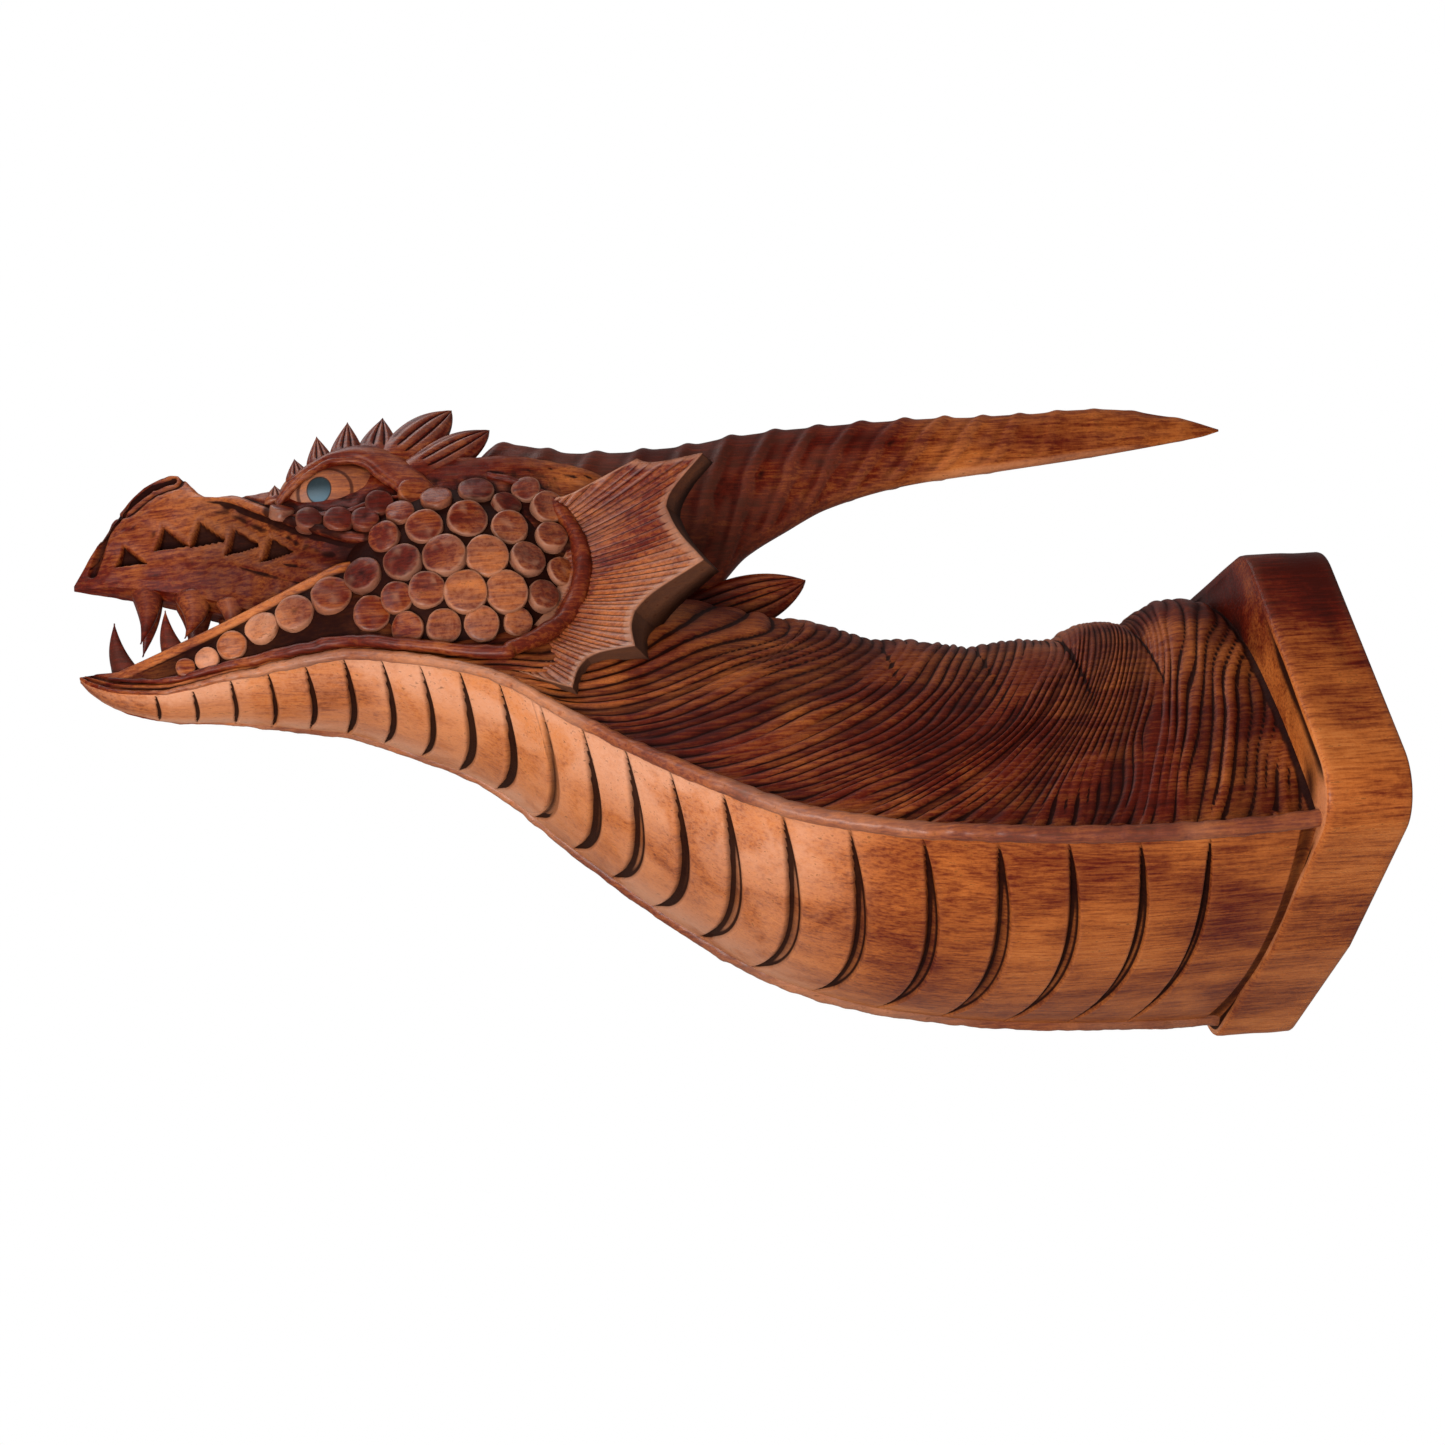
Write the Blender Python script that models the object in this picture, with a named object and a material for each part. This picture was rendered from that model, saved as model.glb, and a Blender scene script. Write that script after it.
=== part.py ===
# Wall carving of a dragon's head on a long neck, cut from one block of hardwood.
# The back of its plaque lies on the wall plane, Y = 0, and the beak points to -Y.
# Places along the carving are given as a reach, the distance out from the wall,
# so a point is (across, reach, height) and lies at X = across, Y = -reach, Z = height.

import math

import bmesh
import bpy
from mathutils import Matrix, Vector

MM = 0.001

# Overall reach from the wall to the jaw's tip. The free form is counted in five-hundredths of it,
# so the whole carving in front of the plaque grows and shrinks with this one size.
REACH = 500 * MM
UNIT = REACH / 500

# Plaque
PLAQUE_THICKNESS = 33 * MM
PLAQUE_APEX = 94 * MM
PLAQUE_SHOULDER = (79 * MM, 66 * MM)
PLAQUE_FOOT = (112 * MM, -69 * MM)
PLAQUE_BOTTOM = -76 * MM
PLAQUE_SHOULDER_RADIUS = 24 * MM
PLAQUE_FOOT_RADIUS = 20 * MM
PLAQUE_EDGE = 1.5 * MM
NECK_SEAT = 12 * MM

# Neck, throat and lower jaw
EDGE_HEIGHT = (
    (10, -63), (65, -64), (123, -61), (176, -53), (202, -46), (229, -35), (268, -9), (305, 21),
    (333, 46), (365, 61), (397, 70), (440, 70), (463, 68.5), (473, 70), (486, 73.5), (496, 79.5), (500, 84),
)
EDGE_SPREAD = (
    (10, 91), (40, 87), (100, 83), (150, 80), (200, 74), (250, 64.5), (290, 54.5), (330, 45),
    (365, 37.5), (400, 29), (440, 17), (470, 10), (490, 5.5), (500, 1.5),
)
BELLY_BULGE = (0.11, 0.22)
BELLY_BULGE_GROWTH = (20 * UNIT, 220 * UNIT)
NAPE_LINE = ((10, 84), (50, 80), (90, 71), (140, 70), (181, 79), (215, 92), (260, 106), (330, 112))
MANE_TAPER = 0.38
MANE_ROUND = 3.2
MANE_LEAN = 120 * UNIT
MANE_LEAN_GROWTH = (12 * UNIT, 250 * UNIT)
MANE_LEAN_FADE = (330 * UNIT, 400 * UNIT)
MANE_FURROW = 1.6 * UNIT
JAW_CORNER = (REACH - 112 * UNIT, 116 * UNIT)
JAW_TIP_HEIGHT = 84 * UNIT
JAW_RIM_END = (REACH - 16 * UNIT, 83 * UNIT)
JAW_BLEND = (REACH - 150 * UNIT, REACH - 104 * UNIT)
JAW_THINNEST = 0.8 * UNIT
JAW_SCOOP = 9 * UNIT
SCUTE_START = REACH - 30 * UNIT
SCUTE_PITCH = (15 * UNIT, 27 * UNIT)
SCUTE_GROWTH = (310 * UNIT, 200 * UNIT)
SCUTE_LAST = 50 * UNIT
SCUTE_FOOT = 10 * UNIT
CHIN_ROWS = (0.0, 5 * UNIT, 14 * UNIT)
GOUGE_WIDTH = 4 * UNIT
GOUGE_DEPTH = 3 * UNIT
GOUGE_BOW = 0.17
GOUGE_BOW_GROWTH = (12 * UNIT, 110 * UNIT)

# Skull and upper jaw, each line a few (reach, value) pairs
BEAK_REACH = REACH + 2 * UNIT
SKULL_START = 252 * UNIT
TOP_LINE = (
    (250, 150), (300, 168), (350, 172), (390, 166), (425, 160), (446, 162), (458, 178), (470, 176),
    (484, 162), (502, 130),
)
LIP_LINE = (
    (250, 112), (340, 116), (388, 124), (411, 136), (425, 147), (440, 158), (463, 161), (484, 148),
    (502, 129.5),
)
LIP_SPREAD = ((250, 28), (320, 38), (388, 34), (411, 29), (440, 19), (463, 13), (484, 7.5), (502, 0.8))
KEEL_LINE = (
    (250, 70), (320, 70), (388, 92), (430, 107), (447, 114.5), (466, 121), (485, 125.5), (502, 128),
)
KEEL_SPREAD = ((250, 20), (340, 28), (388, 24), (430, 13), (466, 8), (485, 5.5), (502, 0.6))
CROWN_SHARE = 0.84

# Cheek and its round scales
CHEEK_CENTRE = (20 * UNIT, 345 * UNIT, 107 * UNIT)
CHEEK_RADII = (25 * UNIT, 49 * UNIT, 47 * UNIT)
SCALE_PITCH = 17 * UNIT
SCALE_RADII = (8.2 * UNIT, 8.0 * UNIT, 7.3 * UNIT)
SCALE_RISE = 2.2 * UNIT
SCALE_SIDES = 8
SCALE_SINK = 4 * UNIT
JAW_SCALES = ((398, 97, 7.8), (413, 91, 7.2), (428, 86, 6.2), (441, 80, 5.0))
CHEEK_RIM_RADIUS = 3 * UNIT
CHEEK_RIM_SHARE = 0.96

# Eye and brow
EYE_CENTRE = (22 * UNIT, 394 * UNIT, 152 * UNIT)
EYE_RADII = (10 * UNIT, 14 * UNIT, 10.5 * UNIT)
BROW_ARC = ((24, 421, 149), (29, 408, 162), (30, 388, 170), (31, 370, 164), (33, 352, 149))
BROW_RADIUS = 4.6 * UNIT
BROW_ROOT = 15 * UNIT

# Spikes on the brow, as (across, reach, height) of base and tip in millimetres, then the width
BROW_SPIKES = (
    ((22, 421, 150), (20, 418, 164), 8),
    ((24, 411, 161), (20, 409, 177), 8),
    ((25, 400, 168), (21, 399, 189), 9),
    ((25, 388, 172), (21, 385, 195), 11),
    ((26, 375, 171), (22, 369, 195), 13),
    ((28, 364, 165), (24, 340, 194), 15),
    ((30, 353, 156), (27, 325, 181), 14),
)
SPIKE_THICKNESS = 6 * UNIT

# Frill behind the cheek, as (angle in degrees, distance from the cheek's centre in millimetres)
FRILL_EDGE = (
    (34, 52), (25, 84), (16, 106), (7, 86), (-12, 99), (-28, 77), (-40, 86), (-50, 73),
    (-61, 82), (-78, 54), (-98, 44),
)
FRILL_ROOT = 40 * UNIT
FRILL_ROOT_OUT = 33 * UNIT
FRILL_TIP_OUT = 62 * UNIT
FRILL_FULL_SPREAD = 100 * UNIT
FRILL_THICKNESS = (16 * UNIT, 6 * UNIT)
FRILL_FOLDS = 2
FRILL_FOLD_DEPTH = 0.9 * UNIT

# Horn, swept back over the neck to just before the wall plane
HORN_END = (2 * UNIT, 334 * UNIT)
HORN_TOP = (
    (2, 181.5), (18, 188), (53, 194.5), (99, 194), (163, 193.5), (218, 189), (250, 184), (290, 183),
    (322, 190), (334, 178),
)
HORN_UNDER = (
    (2, 180.5), (11, 178), (58, 171), (104, 165.5), (149, 160), (182, 150.5), (201, 140), (220, 128),
    (240, 110), (300, 120), (334, 165),
)
HORN_SPREAD = ((2, 0.6), (18, 3.5), (58, 7.5), (104, 9), (163, 11.5), (220, 15), (290, 21), (334, 12))
HORN_RINGS = 15
HORN_RING_DEPTH = 1.1 * UNIT
HORN_RING_FADE = (60 * UNIT, 160 * UNIT)
HORN_FLAT = 0.4

# Fin on the nape
FIN_ROOT = (240 * UNIT, 96 * UNIT)
FIN_TIP = (197 * UNIT, 113 * UNIT)
FIN_HEIGHT = 34 * UNIT
FIN_THICKNESS = 9 * UNIT

# Teeth, as (across, reach, height) of base and tip in millimetres, then the base radius
TEETH = (
    ((7.5, 474, 124), (7, 475, 98), 7.4),
    ((9, 455, 118), (9, 457, 98), 7),
    ((10, 441, 113), (10, 441, 100), 5),
    ((7, 478, 82), (6, 485, 108), 6.6),
    ((12, 458, 88), (11, 464, 109), 5.8),
)
TOOTH_SINK = 4 * UNIT
TOOTH_POINT = 0.3 * UNIT

WOOD_COLOUR = (0.24, 0.085, 0.035, 1.0)
SIDE_STEPS = 8
BELLY_STEPS = 8
SKULL_STEPS = 26


def point(across, reach, height):
    return Vector((across, -reach, height))


def smooth_step(low, high, value):
    share = min(max((value - low) / (high - low), 0.0), 1.0)
    return share * share * (3 - 2 * share)


def follow(line, reach):
    """Height or width of a line at a reach, eased between its neighbouring pairs by a cubic."""
    pairs = [(a * UNIT, b * UNIT) for a, b in line]
    if reach <= pairs[0][0]:
        return pairs[0][1]
    if reach >= pairs[-1][0]:
        return pairs[-1][1]
    slopes = []
    for k, (a, b) in enumerate(pairs):
        before = pairs[max(k - 1, 0)]
        after = pairs[min(k + 1, len(pairs) - 1)]
        slopes.append((after[1] - before[1]) / (after[0] - before[0]))
    for k in range(len(pairs) - 1):
        (a0, b0), (a1, b1) = pairs[k], pairs[k + 1]
        if a0 <= reach <= a1:
            span = a1 - a0
            t = (reach - a0) / span
            rise = (b1 - b0) / span
            m0 = max(min(slopes[k], 3 * abs(rise)), -3 * abs(rise))
            m1 = max(min(slopes[k + 1], 3 * abs(rise)), -3 * abs(rise))
            h00 = 2 * t**3 - 3 * t**2 + 1
            h10 = t**3 - 2 * t**2 + t
            h01 = 3 * t**2 - 2 * t**3
            h11 = t**3 - t**2
            return h00 * b0 + h10 * span * m0 + h01 * b1 + h11 * span * m1
    return pairs[-1][1]


def new_object(name, bm, collection):
    bmesh.ops.remove_doubles(bm, verts=bm.verts, dist=0.00001)
    bmesh.ops.recalc_face_normals(bm, faces=bm.faces)
    mesh = bpy.data.meshes.new(name)
    bm.to_mesh(mesh)
    bm.free()
    obj = bpy.data.objects.new(name, mesh)
    collection.objects.link(obj)
    return obj


def loft(name, rings, collection):
    """Closed skin over rings of equal length, with both ends capped."""
    bm = bmesh.new()
    rows = [[bm.verts.new(p) for p in ring] for ring in rings]
    count = len(rings[0])
    for first, second in zip(rows, rows[1:]):
        for k in range(count):
            n = (k + 1) % count
            bm.faces.new((first[k], first[n], second[n], second[k]))
    bm.faces.new(rows[0])
    bm.faces.new(list(reversed(rows[-1])))
    return new_object(name, bm, collection)


def edge_height(reach):
    return follow(EDGE_HEIGHT, reach)


def edge_spread(reach):
    return follow(EDGE_SPREAD, reach)


def jaw_rim_height(reach):
    corner_reach, corner_height = JAW_CORNER
    end_reach, end_height = JAW_RIM_END
    if reach > end_reach:
        return end_height + (JAW_TIP_HEIGHT + JAW_THINNEST - end_height) * smooth_step(end_reach, REACH, reach)
    return corner_height + (end_height - corner_height) * (reach - corner_reach) / (end_reach - corner_reach)


def mane_point(reach, climb):
    """Point of the mane's side, from the lip (climb 0) to the nape (climb 1)."""
    half = edge_spread(reach)
    base = edge_height(reach)
    across = half * (1 - MANE_TAPER * climb) * math.sqrt(max(1 - climb**MANE_ROUND, 0.0))
    return across, base + (follow(NAPE_LINE, reach) - base) * climb


def jaw_point(reach, climb):
    """Point of the lower jaw's side and scooped top, in the same count of steps."""
    half = edge_spread(reach)
    base = edge_height(reach)
    rim = max(jaw_rim_height(reach), base + JAW_THINNEST)
    if climb < 0.75:
        share = climb / 0.75
        return half * (1 + 0.12 * math.sin(math.pi * share)), base + (rim - base) * share
    share = (climb - 0.75) / 0.25
    scoop = min(JAW_SCOOP, 0.4 * (rim - base))
    return half * (1 - share), rim - scoop * math.sin(0.5 * math.pi * share)


def side_point(row_reach, climb, furrow):
    lean = MANE_LEAN * smooth_step(*MANE_LEAN_GROWTH, row_reach)
    lean *= 1 - smooth_step(*MANE_LEAN_FADE, row_reach)
    reach = row_reach - lean * (1 - (1 - climb) ** 1.6)
    jaw_share = smooth_step(*JAW_BLEND, reach)
    mane_x, mane_z = mane_point(reach, climb)
    jaw_x, jaw_z = jaw_point(reach, climb)
    cut = furrow * math.sin(math.pi * climb) ** 0.5 * (1 - jaw_share)
    across = mane_x * (1 - jaw_share) + jaw_x * jaw_share
    across = max(across - cut, 0.0) if climb < 0.999 else 0.0
    return across, reach, mane_z * (1 - jaw_share) + jaw_z * jaw_share


def belly_point(row_reach, share, cut):
    """Point of the belly, from the middle (share 0) to the near lip (share 1)."""
    bow = GOUGE_BOW * smooth_step(*GOUGE_BOW_GROWTH, row_reach)
    reach = row_reach - bow * edge_spread(row_reach) * (1 - share**2)
    half = edge_spread(reach)
    low, high = BELLY_BULGE
    drop = (low + (high - low) * smooth_step(*BELLY_BULGE_GROWTH, reach)) * half * (1 - share**2)
    lift = cut * (1 - share**4)
    return half * share, reach, edge_height(reach) - drop + lift


def scute_reaches():
    reaches = []
    reach = SCUTE_START
    while reach > SCUTE_LAST:
        reaches.append(reach)
        growth = smooth_step(SCUTE_GROWTH[1], SCUTE_GROWTH[0], reach)
        reach -= SCUTE_PITCH[1] + (SCUTE_PITCH[0] - SCUTE_PITCH[1]) * growth
    return reaches


def body_rows():
    """Rows along the body as (reach, belly cut, mane furrow), with a gouge at each scute's edge."""
    rows = [(REACH - step, 0.0, 0.0) for step in CHIN_ROWS]
    for reach in scute_reaches():
        depth = min(GOUGE_DEPTH, 0.1 * edge_spread(reach))
        width = GOUGE_WIDTH if reach < SCUTE_GROWTH[0] else 0.75 * GOUGE_WIDTH
        rows.append((reach + width, 0.0, 0.0))
        rows.append((reach, depth, MANE_FURROW))
        rows.append((reach - width, 0.0, 0.0))
    rows.append((SCUTE_LAST - SCUTE_FOOT, 0.0, 0.0))
    rows.append((NECK_SEAT, 0.0, 0.0))
    return rows


def make_body(collection):
    """Neck, throat and lower jaw as one skin."""
    rings = []
    for reach, cut, furrow in body_rows():
        half_ring = [belly_point(reach, k * 2 / BELLY_STEPS, cut) for k in range(BELLY_STEPS // 2)]
        for k in range(SIDE_STEPS + 1):
            climb = math.sin(0.5 * math.pi * k / SIDE_STEPS)
            half_ring.append(side_point(reach, climb, furrow))
        ring = [point(*p) for p in half_ring]
        ring += [point(-x, y, z) for x, y, z in reversed(half_ring[1:-1])]
        rings.append(ring)
    return loft("body", rings, collection)


def rounded_corner(before, corner, after, radius, steps=6):
    """Points of a fillet of the given radius at a corner of an outline."""
    before, corner, after = Vector(before), Vector(corner), Vector(after)
    to_before = (before - corner).normalized()
    to_after = (after - corner).normalized()
    half_angle = 0.5 * to_before.angle(to_after)
    reach = radius / math.tan(half_angle)
    centre = corner + (to_before + to_after).normalized() * (radius / math.sin(half_angle))
    start = corner + to_before * reach - centre
    turn = start.angle_signed(corner + to_after * reach - centre)
    return [centre + Matrix.Rotation(-turn * k / steps, 2) @ start for k in range(steps + 1)]


def make_plaque(collection):
    apex = (0.0, PLAQUE_APEX)
    bottom = (0.0, PLAQUE_BOTTOM)
    half = [Vector(apex)]
    half += rounded_corner(apex, PLAQUE_SHOULDER, PLAQUE_FOOT, PLAQUE_SHOULDER_RADIUS)
    half += rounded_corner(PLAQUE_SHOULDER, PLAQUE_FOOT, bottom, PLAQUE_FOOT_RADIUS)
    half.append(Vector(bottom))
    outline = half + [Vector((-p.x, p.y)) for p in reversed(half[1:-1])]
    bm = bmesh.new()
    face = bm.faces.new([bm.verts.new(point(p.x, 0.0, p.y)) for p in outline])
    grown = bmesh.ops.extrude_face_region(bm, geom=[face])
    moved = [v for v in grown["geom"] if isinstance(v, bmesh.types.BMVert)]
    bmesh.ops.translate(bm, verts=moved, vec=(0.0, -PLAQUE_THICKNESS, 0.0))
    front = [e for e in bm.edges if all(v.co.y < -0.5 * PLAQUE_THICKNESS for v in e.verts)]
    bmesh.ops.bevel(bm, geom=front, offset=PLAQUE_EDGE, segments=1, affect="EDGES")
    return new_object("plaque", bm, collection)


def skull_ring(reach):
    top = follow(TOP_LINE, reach)
    lip = follow(LIP_LINE, reach)
    spread = follow(LIP_SPREAD, reach)
    keel = follow(KEEL_LINE, reach)
    keel_spread = follow(KEEL_SPREAD, reach)
    half = [
        (0.0, keel),
        (0.85 * keel_spread, keel + 0.04 * (lip - keel)),
        (keel_spread + 0.35 * (spread - keel_spread), keel + 0.45 * (lip - keel)),
        (0.94 * spread, lip - 0.1 * (lip - keel)),
        (spread, lip),
        (spread * (1 - 0.35 * (1 - CROWN_SHARE)), lip + 0.4 * (top - lip)),
        (CROWN_SHARE * spread, lip + 0.85 * (top - lip)),
        (0.0, top),
    ]
    ring = [point(x, reach, z) for x, z in half]
    return ring + [point(-x, reach, z) for x, z in reversed(half[1:-1])]


def make_skull(collection):
    rings = []
    for k in range(SKULL_STEPS + 1):
        share = 1 - (1 - k / SKULL_STEPS) ** 1.3
        rings.append(skull_ring(SKULL_START + (BEAK_REACH - SKULL_START) * share))
    return loft("skull", rings, collection)


def make_ball(name, centre, radii, collection, segments=16, rings=10):
    bm = bmesh.new()
    bmesh.ops.create_uvsphere(bm, u_segments=segments, v_segments=rings, radius=1.0)
    across, reach, height = radii
    bmesh.ops.scale(bm, verts=bm.verts, vec=(across, reach, height))
    bmesh.ops.translate(bm, verts=bm.verts, vec=point(*centre))
    return new_object(name, bm, collection)


def cheek_surface(back, up):
    """Point and outward normal of the cheek, at an offset back and up from its centre."""
    across, reach, height = CHEEK_RADII
    depth = math.sqrt(max(1 - (back / reach) ** 2 - (up / height) ** 2, 0.02))
    place = point(CHEEK_CENTRE[0] + across * depth, CHEEK_CENTRE[1] - back, CHEEK_CENTRE[2] + up)
    normal = Vector((depth / across, back / reach**2, up / height**2)).normalized()
    return place, normal


def make_disc(name, place, normal, radius, rise, collection):
    bm = bmesh.new()
    depth = 2 * rise + SCALE_SINK
    wide, narrow = 1.06 * radius, 0.94 * radius
    bmesh.ops.create_cone(bm, cap_ends=True, segments=SCALE_SIDES, radius1=wide, radius2=narrow, depth=depth)
    turn = normal.to_track_quat("Z", "Y").to_matrix().to_4x4()
    shift = Matrix.Translation(place - normal * 0.5 * SCALE_SINK)
    bmesh.ops.transform(bm, matrix=shift @ turn, verts=bm.verts)
    return new_object(name, bm, collection)


def scale_places():
    """Offsets and radii of the cheek's scales: rings of six, twelve and eighteen round a middle one."""
    places = [(0.0, 0.0, SCALE_RADII[0])]
    for ring in (1, 2):
        count = 6 * ring
        for k in range(count):
            angle = 2 * math.pi * (k + 0.5 * (ring - 1)) / count + 0.2
            distance = SCALE_PITCH * ring * (0.98 if ring == 1 else 0.96)
            places.append((distance * math.cos(angle), distance * math.sin(angle), SCALE_RADII[ring]))
    return places


def make_scales(collection):
    made = []
    for k, (back, up, radius) in enumerate(scale_places()):
        place, normal = cheek_surface(back, up)
        made.append(make_disc("scale_%02d" % k, place, normal, radius, SCALE_RISE, collection))
    for k, (reach, height, radius) in enumerate(JAW_SCALES):
        across = edge_spread(reach * UNIT) * 1.06
        normal = Vector((1.0, -0.35, 0.0)).normalized()
        place = point(across, reach * UNIT, height * UNIT)
        made.append(make_disc("jaw_scale_%d" % k, place, normal, radius * UNIT, SCALE_RISE, collection))
    return made


def sweep(name, path, outwards, section, collection):
    """Closed bar along a path. The section's pairs are offsets (outwards, sideways) from the path."""
    rings = []
    for k, place in enumerate(path):
        tangent = (path[min(k + 1, len(path) - 1)] - path[max(k - 1, 0)]).normalized()
        outward = (outwards[k] - tangent * tangent.dot(outwards[k])).normalized()
        side = tangent.cross(outward)
        rings.append([place + outward * out + side * off for out, off in section])
    return loft(name, rings, collection)


def make_cheek_rim(collection):
    path, normals = [], []
    for k in range(13):
        angle = math.radians(75 - 170 * k / 12)
        back = CHEEK_RIM_SHARE * CHEEK_RADII[1] * math.cos(angle)
        up = CHEEK_RIM_SHARE * CHEEK_RADII[2] * math.sin(angle)
        place, normal = cheek_surface(back, up)
        path.append(place)
        normals.append(normal)
    r = CHEEK_RIM_RADIUS
    section = [(1.1 * r, 0.0), (0.7 * r, 0.8 * r), (-r, r), (-r, -r), (0.7 * r, -0.8 * r)]
    return sweep("cheek_rim", path, normals, section, collection)


def arc_through(places, steps):
    """Smooth path through a few (across, reach, height) places in millimetres."""
    reaches = []
    for k in range(steps + 1):
        t = (len(places) - 1) * k / steps
        low = min(int(t), len(places) - 2)
        part = t - low
        p = [Vector(places[max(min(low + n, len(places) - 1), 0)]) for n in (-1, 0, 1, 2)]
        value = 0.5 * (
            2 * p[1] + (p[2] - p[0]) * part
            + (2 * p[0] - 5 * p[1] + 4 * p[2] - p[3]) * part**2
            + (3 * p[1] - p[0] - 3 * p[2] + p[3]) * part**3
        )
        reaches.append(point(*(value * UNIT)))
    return reaches


def make_brow(collection):
    path = arc_through(BROW_ARC, 12)
    r = BROW_RADIUS
    root = BROW_ROOT
    section = [(r, 0.0), (0.6 * r, 0.75 * r), (-root, 0.9 * r), (-root, -0.9 * r), (0.6 * r, -0.75 * r)]
    return sweep("brow", path, [Vector((1.0, 0.0, 0.0))] * len(path), section, collection)


def make_leaf(name, base, tip, width, thickness, collection):
    """Pointed leaf, widest above its foot, lying in the plane of its two ends and the reach."""
    base, tip = point(*base), point(*tip)
    along = tip - base
    outward = Vector((1.0, 0.0, 0.0))
    across = along.cross(outward).normalized()
    face = across.cross(along).normalized()
    rings = []
    for share, wide in ((-0.35, 0.8), (0.0, 1.0), (0.35, 1.0), (0.7, 0.62), (1.0, 0.06)):
        centre = base + along * share
        w = 0.5 * width * wide
        t = 0.5 * thickness * (0.25 + 0.75 * wide)
        rings.append([centre + across * w, centre + face * t, centre - across * w, centre - face * t])
    return loft(name, rings, collection)


def make_spikes(collection):
    made = []
    for k, (base, tip, width) in enumerate(BROW_SPIKES):
        base = [v * UNIT for v in base]
        tip = [v * UNIT for v in tip]
        made.append(make_leaf("spike_%d" % k, base, tip, width * UNIT, SPIKE_THICKNESS, collection))
    return made


def frill_column(angle, distance, fold):
    """Section of the frill along one ray from the cheek's centre."""
    centre = CHEEK_CENTRE
    direction = Vector((math.cos(angle), math.sin(angle)))
    section = []
    spread = (distance - FRILL_ROOT) / (FRILL_FULL_SPREAD - FRILL_ROOT)
    for share in (0.0, 0.5, 1.0):
        r = FRILL_ROOT + (distance - FRILL_ROOT) * share
        out = FRILL_ROOT_OUT + (FRILL_TIP_OUT - FRILL_ROOT_OUT) * spread * share**1.3 + fold * share
        section.append((out, r, FRILL_THICKNESS[0] + (FRILL_THICKNESS[1] - FRILL_THICKNESS[0]) * share))
    front = [point(out, centre[1] - r * direction.x, centre[2] + r * direction.y) for out, r, t in section]
    back = []
    for out, r, t in section:
        back.append(point(out - t, centre[1] - (r + 0.4 * t) * direction.x, centre[2] + r * direction.y))
    return front + list(reversed(back))


def make_frill(collection):
    rings = []
    for k in range(len(FRILL_EDGE) - 1):
        for step in range(FRILL_FOLDS):
            share = step / FRILL_FOLDS
            angle = FRILL_EDGE[k][0] + (FRILL_EDGE[k + 1][0] - FRILL_EDGE[k][0]) * share
            distance = FRILL_EDGE[k][1] + (FRILL_EDGE[k + 1][1] - FRILL_EDGE[k][1]) * share
            fold = -FRILL_FOLD_DEPTH if step % 2 else 0.0
            rings.append(frill_column(math.radians(angle), distance * UNIT, fold))
    rings.append(frill_column(math.radians(FRILL_EDGE[-1][0]), FRILL_EDGE[-1][1] * UNIT, 0.0))
    return loft("frill", rings, collection)


def horn_ring(reach, swell):
    top = follow(HORN_TOP, reach) + swell
    under = follow(HORN_UNDER, reach)
    spread = follow(HORN_SPREAD, reach) + 0.6 * swell
    tall = top - under
    half = [
        (0.0, under),
        (HORN_FLAT * spread, under + 0.01 * tall),
        (0.85 * spread, under + 0.3 * tall),
        (spread, under + 0.58 * tall),
        (0.72 * spread, under + 0.87 * tall),
        (0.0, top),
    ]
    ring = [point(x, reach, z) for x, z in half]
    return ring + [point(-x, reach, z) for x, z in reversed(half[1:-1])]


def make_horn(collection):
    """Horn with raised rings that fade towards its tip."""
    start, end = HORN_END
    rings = []
    steps = 2 * HORN_RINGS
    for k in range(steps + 1):
        reach = start + (end - start) * (k / steps) ** 0.9
        fade = smooth_step(*HORN_RING_FADE, reach)
        swell = HORN_RING_DEPTH * fade if k % 2 else -HORN_RING_DEPTH * fade
        rings.append(horn_ring(reach, swell))
    return loft("horn", rings, collection)


def make_fin(collection):
    rings = []
    for share, tall in ((0.0, 1.0), (0.4, 0.95), (0.75, 0.6), (1.0, 0.05)):
        reach = FIN_ROOT[0] + (FIN_TIP[0] - FIN_ROOT[0]) * share
        middle = FIN_ROOT[1] + (FIN_TIP[1] - FIN_ROOT[1]) * share**2
        up = 0.5 * FIN_HEIGHT * tall
        out = 0.5 * FIN_THICKNESS * tall
        corners = ((0, -up), (out, 0), (0, up), (-out, 0))
        rings.append([point(x, reach, middle + z) for x, z in corners])
    return loft("fin", rings, collection)


def make_teeth(collection):
    made = []
    for k, (base, tip, radius) in enumerate(TEETH):
        base = point(*[v * UNIT for v in base])
        tip = point(*[v * UNIT for v in tip])
        along = tip - base
        bm = bmesh.new()
        depth = along.length + TOOTH_SINK
        wide, narrow = radius * UNIT, TOOTH_POINT
        bmesh.ops.create_cone(bm, cap_ends=True, segments=6, radius1=wide, radius2=narrow, depth=depth)
        turn = along.to_track_quat("Z", "Y").to_matrix().to_4x4() @ Matrix.Diagonal((0.62, 1, 1, 1))
        centre = base + along.normalized() * (0.5 * depth - TOOTH_SINK)
        bmesh.ops.transform(bm, matrix=Matrix.Translation(centre) @ turn, verts=bm.verts)
        made.append(new_object("tooth_%d" % k, bm, collection))
    return made


def other_side(forms, collection):
    """Copies of the forms, mirrored across the middle plane."""
    for form in forms:
        bm = bmesh.new()
        bm.from_mesh(form.data)
        bmesh.ops.scale(bm, verts=bm.verts, vec=(-1.0, 1.0, 1.0))
        new_object(form.name + "_far", bm, collection)


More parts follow.
